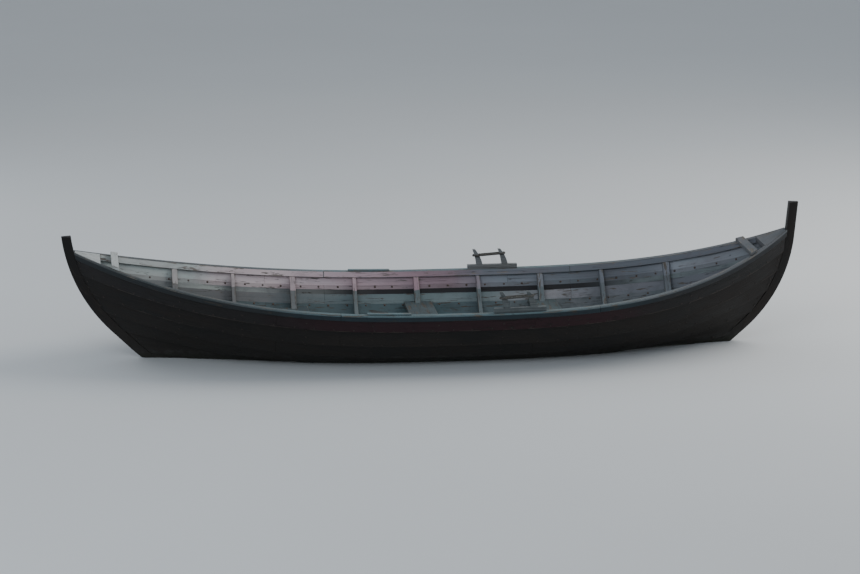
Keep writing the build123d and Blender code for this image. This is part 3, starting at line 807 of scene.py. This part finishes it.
# The starboard rowlock: the same weathered wood, darker, as painted shade on the rowlock that looks
# away from the light
SHADED_KEIP = bare_wood(
    "shaded_rowlock", (0.036, 0.040, 0.041), (0.100, 0.110, 0.112), (0.09, 0.11, 0.115), 0.62)
SHADED_KEIP_EDGE = bare_wood(
    "shaded_rowlock_edge", (0.045, 0.050, 0.050), (0.115, 0.125, 0.123), (0.10, 0.12, 0.125), 0.6)
IRON_OUT = iron("tarred_iron", (0.013, 0.012, 0.011), (0.034, 0.020, 0.014))
IRON_IN = iron("rusty_iron", (0.050, 0.042, 0.038), (0.105, 0.062, 0.042))
HEMP = rope_fibre("hemp", (0.050, 0.048, 0.044), (0.135, 0.130, 0.118))

# The planks' skins: the material of the side that starts at each corner, and the materials
LOW_SKIN = ([2, 2, 0, 0, 1, 1], [TAR, BILGE, TAR_LAP])
NEXT_SKIN = ([2, 2, 0, 0, 4, 4, 3, 1], [TAR, TEAL, TAR_LAP, DARK_BAND, SHADED_NEXT_PAINT])
TOP_SKIN = ([3, 3, 0, 2, 1], [MAROON, TOP_PAINT, RAIL_PAINT, MAROON_LAP])


# Meshes
def link(name, data):
    """A new object in the scene."""
    obj = bpy.data.objects.new(name, data)
    bpy.context.scene.collection.objects.link(obj)
    return obj


def link_mesh(name, mesh):
    """A new object with a mesh, smoothly shaded."""
    mesh.polygons.foreach_set("use_smooth", [True] * len(mesh.polygons))
    return link(name, mesh)


def new_object(name, verts, faces, materials, indices=None, uvs=None):
    """An object from points, faces, each face's material and each face corner's UV."""
    mesh = bpy.data.meshes.new(name)
    mesh.from_pydata([tuple(v) for v in verts], [], faces)
    for material in materials:
        mesh.materials.append(material)
    if indices:
        mesh.polygons.foreach_set("material_index", indices)
    layer = mesh.uv_layers.new(name="UVMap")
    if uvs:
        layer.data.foreach_set("uv", [c for face in uvs for uv in face for c in uv])
    mesh.validate()
    return link_mesh(name, mesh)


def cleaned(obj):
    """Drops collapsed faces and turns the others outward."""
    mesh = bmesh.new()
    mesh.from_mesh(obj.data)
    bmesh.ops.dissolve_degenerate(mesh, dist=NEAR, edges=mesh.edges)
    bmesh.ops.recalc_face_normals(mesh, faces=mesh.faces)
    mesh.to_mesh(obj.data)
    mesh.free()
    return obj


def soften(obj, width, segments=2, angle=35.0, edge_material=-1):
    """Rounds the sharp edges, with a material of the object's on them."""
    bevel = obj.modifiers.new("rounded", "BEVEL")
    bevel.width = width
    bevel.segments = segments
    bevel.limit_method = "ANGLE"
    bevel.angle_limit = radians(angle)
    bevel.harden_normals = True
    bevel.material = edge_material
    bevel.miter_outer = "MITER_ARC"
    return obj


def fit(obj, slot, *nodes):
    """Rides a piece on the hull and hides the imported pieces that it stands for."""
    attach(obj, "root")
    if nodes:
        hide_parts(*nodes)


def grain_start():
    """A random place in the grain, so that no two pieces share theirs."""
    return random.uniform(0, GRAIN_SPREAD), random.uniform(0, GRAIN_SPREAD)


def gap(a, b):
    """Distance between two points."""
    return (Vector(b) - Vector(a)).length


def sweep(name, rows, kinds, materials):
    """A closed skin over rows of corners, one row for each cross-section, with UVs in metres.

    kinds gives the material of the side that starts at each corner.
    """
    count = len(rows[0])
    verts = [p for row in rows for p in row]
    u0, v0 = grain_start()
    along = [u0]
    for a, b in zip(rows, rows[1:]):
        along.append(along[-1] + sum(gap(p, q) for p, q in zip(a, b)) / count)
    around = []
    for row in rows:
        marks = [v0]
        for j in range(count):
            marks.append(marks[-1] + gap(row[j], row[(j + 1) % count]))
        around.append(marks)
    faces, indices, uvs = [], [], []
    for i in range(len(rows) - 1):
        for j in range(count):
            k = (j + 1) % count
            faces.append([i * count + j, i * count + k, (i + 1) * count + k, (i + 1) * count + j])
            indices.append(kinds[j])
            uvs.append([(along[i], around[i][j]), (along[i], around[i][j + 1]),
                        (along[i + 1], around[i + 1][j + 1]), (along[i + 1], around[i + 1][j])])
    ring = list(range(count))
    for face in (ring[::-1], [len(verts) - count + j for j in ring]):
        faces.append(face)
        indices.append(kinds[0])
        uvs.append([(u0 + verts[v][2] * CAP_SHRINK, v0 + verts[v][1]) for v in face])
    return cleaned(new_object(name, verts, faces, materials, indices, uvs))


def shares(count):
    """Evenly spaced numbers from zero to one."""
    return [i / (count - 1) for i in range(count)]


def side_name(side):
    """The word for a side that is 1 or -1."""
    return "port" if side > 0 else "starboard"


def join(objects, name):
    """Joins meshes that share their materials into one object."""
    merged = bmesh.new()
    for obj in objects:
        merged.from_mesh(obj.data)
    mesh = bpy.data.meshes.new(name)
    merged.to_mesh(mesh)
    merged.free()
    for material in objects[0].data.materials:
        mesh.materials.append(material)
    for obj in objects:
        data = obj.data
        bpy.data.objects.remove(obj)
        bpy.data.meshes.remove(data)
    return link_mesh(name, mesh)


def in_lengths(name, start, finish, scarfs, corner, side, kinds, materials, change=None):
    """A plank or bar in three lengths, each corner line from its own start to its finish.

    corner gives a corner's half breadth and height at a place, and change alters a row.
    """
    count = len(start)
    low, high = ([x] * count for x in scarfs)
    before_low, before_high = ([x - SEAT] * count for x in scarfs)
    pieces = []
    for first, last in ((start, before_low), (low, before_high), (high, finish)):
        rows = []
        for share in shares(SKIN_ROWS):
            row = []
            for j, (a, b) in enumerate(zip(first, last)):
                x = a + share * (b - a)
                y, z = corner(x, j)
                row.append((x, side * y, z))
            rows.append(change(row) if change else row)
        pieces.append(sweep("length", rows, kinds, materials))
    return join(pieces, name)


# Planks
def skin_row(k, row):
    """Plank k's corners with those that only part its paints: the worn lap and the faded band."""
    if k == TOP - 1:
        row += [tuple(Vector(row[4]).lerp(Vector(row[0]), share)) for share in LINE_BAND]
    if k == TOP:
        del row[3]
    low, high = Vector(row[1]), Vector(row[2])
    row.insert(2, tuple(low.lerp(high, WORN_LAP / (high - low).length)))
    return row


def strake(k, side):
    """Plank k of one side, in its three lengths, as one object."""
    kinds, materials = {TOP: TOP_SKIN, TOP - 1: NEXT_SKIN}.get(k, LOW_SKIN)
    aft = [-hood_place(k, j, STERN) for j in range(5)]
    fore = [hood_place(k, j, BOW) for j in range(5)]
    name = "strake_%d_%s" % (k, side_name(side))
    plank = in_lengths("clad_" + name, aft, fore, SCARFS[k % 2], lambda x, j: plank_corner(k, x, j),
                       side, kinds, materials, lambda row: skin_row(k, row))
    fit(soften(plank, ROUND["plank"]), "sheer_paint" if k == TOP else "tarred_planks", name)


# Gunwale
def inwale_section(x):
    """The inwale's corners, its top level with the planking's."""
    top = edge(TOP, x)[1]
    up, inward = direction(TOP, x)
    base = add(inner_face(TOP, x), (SEAT, inward))
    high = up_to(base, up, top)
    low = up_to(base, up, top - INWALE[1])
    return [high, low, (low[0] - INWALE[0], low[1]), (high[0] - INWALE[0], high[1])]


def rail_section(x):
    """The outer rail's corners."""
    high = edge(TOP, x)
    up = direction(TOP, x)[0]
    low = up_to(high, up, high[1] - RAIL[1])
    cut = up_to(high, up, high[1] - RAIL_CUT_IN)
    points = [high, low] + [(y + RAIL[0], z) for y, z in (low, cut, high)]
    return [(y + SEAT, z) for y, z in points]


def gunwales(side):
    """The inwale and the outer rail of one side."""
    name = side_name(side)
    back, front = -(edge_end(TOP, STERN)[0] - INWALE_SHORT), edge_end(TOP, BOW)[0] - INWALE_SHORT
    inner = in_lengths("clad_inwale_" + name, [back] * 4, [front] * 4, SCARFS[1],
                       lambda x, j: inwale_section(x)[j], side, [0, 0, 0, 1],
                       [INWALE_PAINT, RAIL_PAINT, RAIL_EDGE])
    fit(soften(inner, ROUND["inwale"], 3, edge_material=2), "frame_wood", "inwale_" + name)
    back = [-run_out(STERN, TOP, rail_section, j) for j in range(5)]
    front = [run_out(BOW, TOP, rail_section, j) for j in range(5)]
    # Below the cut-in the rail takes the darker paint: painted shade
    outer = in_lengths("clad_rail_" + name, back, front, SCARFS[1],
                       lambda x, j: rail_section(x)[j], side, [0, 0, 0, 1, 1],
                       [SHADED_RAIL_SIDE, RAIL_PAINT])
    fit(soften(outer, ROUND["rail"], 3), "sheer_paint", "rail_" + name)


# Backbone
def both_halves(half):
    """A loop of corners from its port half."""
    return half + [(x, -y, z) for x, y, z in reversed(half)]


def backbone_loop(end, s, widths, depths):
    """The corners of the backbone's cross-section, one distance along the path for each depth."""
    half = []
    for distance, width, depth in zip(s, widths, depths):
        x, z = path_point(end, distance, depth)[:2]
        half.append((end["sign"] * x, width, z))
    return both_halves(half)


def clamped(value):
    """A number kept between zero and one."""
    return min(max(value, 0.0), 1.0)


def cutwater(end, s):
    """Half width of the backbone's outer face, narrower up the stem."""
    start, finish = KEEL_SCARF[0], along_at_z(end, CUTWATER_TOP)
    share = clamped((s - start) / (finish - start))
    smooth = share * share * (3 - 2 * share)
    return BACKBONE_HALF - FACE_IN + smooth * (CUTWATER_HALF - BACKBONE_HALF)


def level_head(end, point):
    """Moves a point of the last row along the stem to the height of its head."""
    x, y, z = point
    lean = end["sign"] * (end["head_z"] - z) / tan(radians(end["head_rake"]))
    return (x + lean, y, end["head_z"])


def timber(node, rows):
    """A tarred timber over rows of corners."""
    obj = sweep("clad_" + node, rows, [0] * len(rows[0]), [TAR_TIMBER, TAR_EDGE])
    fit(soften(obj, ROUND["timber"], 2, 30.0, edge_material=1), "tarred_timber", node)


def backbone_piece(node, end, start, finish, count, head=False):
    """A piece of the backbone between two scarfs: start and finish are (outer, inner) distances."""
    apron_s = along_at_z(end, end["apron_top"], FULL_DEPTH)
    rows = []
    for share in shares(count):
        s = []
        for depth in CORNER_DEPTHS:
            low = start[0] + (start[1] - start[0]) * depth / FULL_DEPTH
            high = finish[0] + (finish[1] - finish[0]) * depth / FULL_DEPTH
            s.append(low + share * (high - low))
        narrow = cutwater(end, s[0])
        fade = clamped((apron_s - s[5]) / APRON_FADE)
        middle = max(0.35 * narrow + 0.65 * BACKBONE_HALF, narrow)
        widths = [narrow - FACE_CHAMFER, narrow + FACE_FLARE, middle, BACKBONE_HALF]
        widths += KEEL_WIDTHS[4:] if fade else BAND_WIDTHS
        last_depth = BAND_DEPTH + BAND_LIP + fade * (APRON_DEPTH - BAND_LIP)
        depths = CORNER_DEPTHS[:5] + [last_depth]
        rows.append(backbone_loop(end, s, widths, depths))
    if head:
        rows[-1] = [level_head(end, p) for p in rows[-1]]
    timber(node, rows)


def backbone():
    """The keel, two forefeet and two stems."""
    for end, name in ((BOW, "bow"), (STERN, "stern")):
        scarf = (along_at_z(end, STEM_SCARF[0]), along_at_z(end, STEM_SCARF[1], FULL_DEPTH))
        top = (along_at_z(end, end["head_z"]), along_at_z(end, end["head_z"], FULL_DEPTH))
        backbone_piece("forefoot_" + name, end, KEEL_SCARF, scarf, 40)
        backbone_piece("stem_" + name, end, scarf, top, 60, head=True)
    rows = []
    for share in shares(24):
        half = []
        for depth, width in zip(CORNER_DEPTHS, KEEL_WIDTHS):
            reach = KEEL_SCARF[0] + (KEEL_SCARF[1] - KEEL_SCARF[0]) * depth / FULL_DEPTH - SEAT
            half.append(((2 * share - 1) * reach, width, depth - KEEL_DEPTH))
        rows.append(both_halves(half))
    timber("keel", rows)


# Frames
def rounded(points):
    """A line with its corners cut twice, its ends kept."""
    for _ in range(2):
        line = [points[0]]
        for a, b in zip(points, points[1:]):
            line.append((0.75 * a[0] + 0.25 * b[0], 0.75 * a[1] + 0.25 * b[1]))
            line.append((0.25 * a[0] + 0.75 * b[0], 0.25 * a[1] + 0.75 * b[1]))
        points = line + [points[-1]]
    return points


def over_edge(k, x):
    """A point just clear of plank k's upper inner corner."""
    up, inward = direction(k, x)
    return add(land(k, x)[1], (SEAT, inward), (SEAT, up))


def shell_inside(first, x):
    """The line that a frame's outer edge follows, from low to high."""
    points = [] if first == 1 else [over_edge(first - 1, x)]
    for k in range(first, TOP + 1):
        up, inward = direction(k, x)
        low = inner_face(k, x)
        if k > 1:
            below = land(k - 1, x)[0]
            rise = (below[0] - low[0]) * up[0] + (below[1] - low[1]) * up[1]
            low = add(low, (rise + SEAT, up))
        points.append(add(low, (SEAT, inward)))
        points.append(over_edge(k, x))
    return points


def frame_inside(first, x):
    """The frames' inner corners, from low to high."""
    points = []
    for k in range(first, TOP):
        here, above = direction(k, x)[1], direction(k + 1, x)[1]
        mean = ((here[0] + above[0]) / 2, (here[1] + above[1]) / 2)
        points.append(add(edge(k, x), (thickness(x) + FRAME_MOULDED, mean)))
    up, inward = direction(TOP, x)
    base = add(inner_face(TOP, x), (SEAT, inward))
    head = up_to(base, up, edge(TOP, x)[1] - INWALE[1] - HEAD_CLEAR)
    points.append((head[0] - FRAME_HEAD, head[1]))
    return points


def floor_level(x):
    """Height of the floorboards' underside."""
    return -FLOOR_DEPTH + FLOOR_RISE * (x / FLOOR_REACH) ** 2


def frame_half(x, middle, first):
    """Half of a frame's outline at a place, with as many points as at its middle."""
    outer = shell_inside(first, x)
    if first == 1:
        foot_z = path_height(end_at(x), abs(x), FULL_DEPTH) + SEAT
        outer[0] = on_line(outer[0], outer[1], foot_z)
    low_z = floor_level(x) if first == 1 else END_FRAME_FLOOR + outer[0][1]
    outer[-1] = on_line(outer[-2], outer[-1], edge(TOP, x)[1] - INWALE[1] - HEAD_CLEAR)
    level = floor_level(middle) if first == 1 else END_FRAME_FLOOR + over_edge(first - 1, middle)[1]
    kept = sum(1 for p in frame_inside(first, middle) if p[1] > level + FRAME_TOE)
    inner = frame_inside(first, x)[-kept:]
    foot = on_line(inner[0], inner[1], low_z)
    return outer, rounded([foot] + inner)


def frame_timber(node, first):
    """A grown frame: its outer edge stepped to the planks, its inner edge one sweeping curve."""
    low, high = FRAME_PLACES[node]
    u0, v0 = grain_start()
    verts = []
    for x in (low, high):
        outer, inner = frame_half(x, (low + high) / 2, first)
        verts += both_halves([(x, y, z) for y, z in outer + inner[::-1]])
    count = len(verts) // 2
    around = [u0 + GRAIN_RADIUS * atan2(y, GRAIN_CENTRE - z) for x, y, z in verts]
    out = [v0 + hypot(y, GRAIN_CENTRE - z) for x, y, z in verts]
    faces = [list(range(count))[::-1], list(range(count, 2 * count))]
    uvs = [[(around[v], out[v]) for v in face] for face in faces]
    for j in range(count):
        k = (j + 1) % count
        face = [j, k, count + k, count + j]
        faces.append(face)
        uvs.append([(around[v], v0 + GRAIN_APART + verts[v][0]) for v in face])
    obj = cleaned(new_object("clad_" + node, verts, faces, [FRAME_PAINT, FRAME_EDGE], None, uvs))
    fit(soften(obj, ROUND["frame"], 3, 30.0, edge_material=1), "frame_wood", node)


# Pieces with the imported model's own shape, their edges rounded
def from_cad(node, axis, material, slot, width, edge_material=None):
    """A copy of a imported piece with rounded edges, its grain along one axis."""
    mesh = bmesh.new()
    mesh.from_mesh(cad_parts[node].data)
    bmesh.ops.remove_doubles(mesh, verts=mesh.verts, dist=NEAR)
    bmesh.ops.dissolve_limit(mesh, angle_limit=radians(FLAT), verts=mesh.verts, edges=mesh.edges)
    layer = mesh.loops.layers.uv.verify()
    u0, v0 = grain_start()
    a, b = [i for i in range(3) if i != axis]
    for face in mesh.faces:
        normal = face.normal
        across = a if abs(normal[a]) < abs(normal[b]) else b
        for loop in face.loops:
            co = loop.vert.co
            if abs(normal[axis]) > END_FACING:
                loop[layer].uv = (u0 + co[a] * END_SHRINK, v0 + END_GRAIN_APART + co[b])
            else:
                loop[layer].uv = (u0 + co[axis], v0 + across + co[across])
        face.material_index = 0
    data = bpy.data.meshes.new("clad_" + node)
    mesh.to_mesh(data)
    mesh.free()
    for layer_name in ("custom_normal", "sharp_edge", "sharp_face"):
        if layer_name in data.attributes:
            data.attributes.remove(data.attributes[layer_name])
    data.materials.append(material)
    data.materials.append(edge_material or material)
    obj = link_mesh("clad_" + node, data)
    fit(soften(obj, width, 3, 28.0, edge_material=1 if edge_material else -1), slot, node)


# Fastenings
def studs(name, spots, profile, material, slot):
    """Round heads in one mesh: each spot is a point, the way it faces and a size."""
    sides = 10
    verts, faces = [], []
    for point, facing, scale in spots:
        facing = facing.normalized()
        side = facing.orthogonal().normalized()
        other = facing.cross(side)
        twist = random.uniform(0, pi)
        start = len(verts)
        for radius, height in profile:
            for i in range(sides):
                angle = twist + 2 * pi * i / sides
                ring = side * cos(angle) + other * sin(angle)
                verts.append(point + ring * radius * scale + facing * height * scale)
        for level in range(len(profile) - 1):
            for i in range(sides):
                j = (i + 1) % sides
                a, b = start + level * sides, start + (level + 1) * sides
                faces.append((a + i, a + j, b + j, b + i))
        faces.append(tuple(start + (len(profile) - 1) * sides + i for i in range(sides)))
        faces.append(tuple(start + i for i in reversed(range(sides))))
    fit(new_object(name, verts, faces, [material]), slot)


def span(k, x):
    """Length of plank k's outer face in a cross-section."""
    section = plank_section(k, x)
    return hypot(section[3][0] - section[0][0], section[3][1] - section[0][1])


def on_plank(k, x, rise, side, inside=False):
    """A point on plank k's face, measured up from its lower edge, and the way the face looks."""
    corner = 0 if inside else 1
    up = direction(k, x)[0]
    y, z = add(plank_section(k, x)[corner], (rise, up))
    ahead, back = plank_section(k, x + 0.01)[corner], plank_section(k, x - 0.01)[corner]
    run = Vector((0.02, side * (ahead[0] - back[0]), ahead[1] - back[1])).normalized()
    facing = Vector((0.0, side * up[0], up[1])).cross(run) * side
    if (facing.y * side > 0) == inside:
        facing = -facing
    return Vector((x, side * y, z)), facing


def near_frame(x):
    """Whether a place lies under one of the frames."""
    return any(low - FRAME_CLEAR < x < high + FRAME_CLEAR for low, high in FRAME_PLACES.values())


def rivets():
    """The riveted laps, the nails along the keel and the stems, and those through the frames."""
    heads, roves, nails = [], [], []
    for side in (1, -1):
        for k in range(1, TOP):
            aft, fore = edge_end(k, STERN)[0], edge_end(k, BOW)[0]
            count = int((aft + fore - 2 * FIRST_RIVET) / RIVET_STEP)
            for i in range(count + 1):
                stray = random.uniform(-RIVET_STRAY, RIVET_STRAY)
                x = -aft + FIRST_RIVET + i * RIVET_STEP + stray
                heads.append((*on_plank(k + 1, x, LAP / 2, side), random.uniform(0.92, 1.08)))
                if not near_frame(x):
                    rise = span(k, x) - LAP / 2
                    roves.append((*on_plank(k, x, rise, side, True), random.uniform(0.9, 1.1)))
        for i in range(-KEEL_NAILS, KEEL_NAILS + 1):
            x = i * KEEL_NAIL_STEP + random.uniform(-KEEL_NAIL_STRAY, KEEL_NAIL_STRAY)
            nails.append((*on_plank(1, x, GARBOARD_TUCK + KEEL_NAIL_UP, side), KEEL_NAIL_SIZE))
        for end in (BOW, STERN):
            for k in range(1, TOP + 1):
                for share in HOOD_NAILS:
                    x = edge_end(k, end)[0] - HOOD_NAIL_IN - (1 - share) * HOOD_SLANT[k - 1]
                    x *= end["sign"]
                    rise = span(k, x) * share + (LAP if k > 1 else 0) * 0.4
                    place = on_plank(k, x, min(rise, PLANKS[k - 1][0]), side)
                    nails.append((*place, HOOD_NAIL_SIZE))
        for node, first in FRAMES:
            x = sum(FRAME_PLACES[node]) / 2
            for k in range(first, TOP + 1):
                for share in FRAME_NAILS[1:] if k == 1 else FRAME_NAILS:
                    place = on_plank(k, x, span(k, x) * share, side)
                    heads.append((*place, FRAME_RIVET_SIZE))
    studs("rivet_heads", heads, RIVET_HEAD, IRON_OUT, "tarred_planks")
    studs("rivet_roves", roves, ROVE, IRON_IN, "frame_wood")
    studs("hood_nails", nails, NAIL_HEAD, IRON_OUT, "tarred_timber")


# Rowlock straps
def strap_path(side):
    """The middle line of a rope loop round both horns of a rowlock, closed."""
    lean = HORN_LEAN * (STRAP_HEIGHT / HORN_HEIGHT) ** HORN_CURVE
    top = edge(TOP, KEIP_X)[1] + KEIP_HIGH
    y_mid = edge(TOP, KEIP_X)[0] - KEIP_WIDE / 2
    horn = HORN_ROOT + (HORN_TIP - HORN_ROOT) * STRAP_HEIGHT / HORN_HEIGHT
    round_x, round_y = 0.5 * horn + ROPE_RADIUS, HORN_THICK / 2 + ROPE_RADIUS
    line = []
    steps = 96
    for i in range(steps):
        angle = 2 * pi * i / steps
        x = HORN_SPREAD / 2 * (1 if cos(angle) > 0 else -1) + round_x * cos(angle)
        share = x / (HORN_SPREAD / 2)
        loose = 1 - min(share * share, 1.0)
        y = round_y * sin(angle) * (1 - STRAP_PINCH * loose)
        z = top + STRAP_HEIGHT + STRAP_TILT * share - STRAP_SLACK * loose
        line.append(Vector((KEIP_X - lean + x, side * (y_mid + y), z)))
    return resample(line, STRAP_POINTS)


def resample(line, count):
    """A closed line with its points evenly spaced."""
    closed = line + [line[0]]
    marks = [0.0]
    for a, b in zip(closed, closed[1:]):
        marks.append(marks[-1] + (b - a).length)
    points, j = [], 0
    for i in range(count):
        want = marks[-1] * i / count
        while marks[j + 1] < want:
            j += 1
        share = (want - marks[j]) / (marks[j + 1] - marks[j])
        points.append(closed[j].lerp(closed[j + 1], share))
    return points


def twisted_rope(name, line, radius, turns, material, slot):
    """Three strands twisted along a closed line."""
    count, sides = len(line), 8
    verts, faces, uvs = [], [], []
    for strand in range(STRANDS):
        start = len(verts)
        for i, point in enumerate(line):
            ahead = (line[(i + 1) % count] - line[i - 1]).normalized()
            flat = ahead.cross(Vector((0, 0, 1))).normalized()
            high = flat.cross(ahead)
            turned = 2 * pi * (strand / STRANDS + turns * i / count)
            centre = point + (flat * cos(turned) + high * sin(turned)) * radius * STRAND_OUT
            for j in range(sides):
                angle = 2 * pi * j / sides
                ring = flat * cos(angle) + high * sin(angle)
                verts.append(centre + ring * radius * STRAND_RADIUS)
        for i in range(count):
            here, there = start + i * sides, start + (i + 1) % count * sides
            for j in range(sides):
                k = (j + 1) % sides
                faces.append((here + j, here + k, there + k, there + j))
                u, v = i * ROPE_GRAIN[0], j * ROPE_GRAIN[1]
                next_u, next_v = u + ROPE_GRAIN[0], v + ROPE_GRAIN[1]
                uvs.append([(u, v), (u, next_v), (next_u, next_v), (next_u, v)])
    fit(new_object(name, verts, faces, [material], None, uvs), slot)


# Floor, at the waterline, open where the hull passes through it
def waterline_half(x):
    """Half breadth of the hull at the waterline."""
    end = end_at(x)
    s = along_at_z(end, 0.0)
    half = cutwater(end, s) if abs(x) > stem_x(end, CORNER_DEPTHS[2], 0.0) else BACKBONE_HALF
    if abs(x) > stem_x(end, BAND_DEPTH, 0.0):
        return half
    for k in range(1, TOP + 1):
        section = plank_section(k, x)
        low, high = section[1], section[2]
        if low[1] <= 0.0 <= high[1]:
            half = max(half, on_line(low, high, 0.0)[0])
    return half


def studio_floor():
    """The floor round the hull, its opening a hair wider than the waterline."""
    bow_x, stern_x = stem_x(BOW, 0.0, 0.0), stem_x(STERN, 0.0, 0.0)
    steps = [0.5 - 0.5 * cos(pi * i / FLOOR_STEPS) for i in range(FLOOR_STEPS + 1)]
    places = [-stern_x + (bow_x + stern_x) * step for step in steps]
    port = [(x, waterline_half(x) + FLOOR_GAP) for x in places]
    outline = [(x, -y) for x, y in port] + port[::-1]
    inner = []
    for x, y in outline:
        shift = FLOOR_GAP * (1 if x > 0 else -1) * (abs(x) > FLOOR_ENDS)
        inner.append((x + shift, y, 0.0))
    angles = [atan2(y * FLOOR_FAN, x) for x, y, z in inner]
    outer = [(FLOOR_SIZE * cos(angle), FLOOR_SIZE * sin(angle), 0.0) for angle in angles]
    count = len(inner)
    faces = [(j, (j + 1) % count, count + (j + 1) % count, count + j) for j in range(count)]
    p = Paint("floor")
    haze = p.noise(p.place, 0.35, 4.0, 0.5)
    colour = p.ramp(haze, (0.3, FLOOR_COLOUR), (0.7, tinted(FLOOR_COLOUR, 1.03)))
    p.finish(colour, 0.65, p.bump(p.noise(p.place, 60.0, 3.0), 0.0006, 0.3))
    new_object("floor", inner + outer, faces, [p.material])


# Light
def studio_light():
    """Soft light from high on the bow's side, with a cool fill all round."""
    for name, place, target, size, power, colour in LIGHTS:
        data = bpy.data.lights.new(name, "AREA")
        data.shape = "DISK"
        data.size = size
        data.energy = power
        data.color = colour
        light = link(name, data)
        light.location = place
        back = Vector(place) - Vector(target)
        light.rotation_euler = back.to_track_quat("Z", "Y").to_euler()
    world = bpy.data.worlds.new("world")
    bpy.context.scene.world = world
    world.use_nodes = True
    background = world.node_tree.nodes["Background"]
    background.inputs[0].default_value = SKY_COLOUR
    background.inputs[1].default_value = SKY_POWER


def add_camera():
    """The camera at the photograph's viewing angle."""
    a, e = radians(AZIMUTH), radians(ELEVATION)
    back = Vector((sin(a) * cos(e), -cos(a) * cos(e), sin(e)))
    data = bpy.data.cameras.new("camera")
    data.lens = FOCAL
    data.sensor_width = SENSOR
    camera = link("camera", data)
    camera.location = Vector(TARGET) + back * DISTANCE
    camera.rotation_euler = back.to_track_quat("Z", "Y").to_euler()
    bpy.context.scene.camera = camera


add_camera()
studio_light()
studio_floor()
for side in (1, -1):
    for k in range(1, TOP + 1):
        strake(k, side)
    gunwales(side)
backbone()
for node, first in FRAMES:
    frame_timber(node, first)
for name in ("aft", "middle", "fore"):
    from_cad("beam_" + name, ACROSS, FRAME_PAINT, "frame_wood", ROUND["beam"], FRAME_EDGE)
    from_cad("thwart_" + name, ACROSS, THWART_PAINT, "board_wood", ROUND["thwart"], THWART_EDGE)
for name in ("middle", "side_port", "side_starboard", "bilge_port", "bilge_starboard"):
    from_cad("floorboard_" + name, ALONG, FLOOR_WOOD, "board_wood", ROUND["floorboard"])
for name, paint, worn in (("bow", RAIL_PAINT, RAIL_EDGE), ("stern", PALE_PAINT, PALE_EDGE)):
    from_cad("end_beam_" + name, ACROSS, paint, "frame_wood", ROUND["end_beam"], worn)
    from_cad("breasthook_" + name, ALONG, paint, "frame_wood", ROUND["breasthook"], worn)
# The starboard rowlock takes the darker copy of the wood: painted shade
for name, wood, worn in (("port", KEIP_WOOD, KEIP_EDGE), ("starboard", SHADED_KEIP, SHADED_KEIP_EDGE)):
    from_cad("keip_" + name, ALONG, wood, "keip_wood", ROUND["keip"], worn)
    from_cad("rowing_pad_" + name, ALONG, RAIL_PAINT, "keip_wood", ROUND["pad"], RAIL_EDGE)
for side in (1, -1):
    name = "oar_strap_" + side_name(side)
    twisted_rope(name, strap_path(side), ROPE_RADIUS, ROPE_TURNS, HEMP, "keip_wood")
rivets()
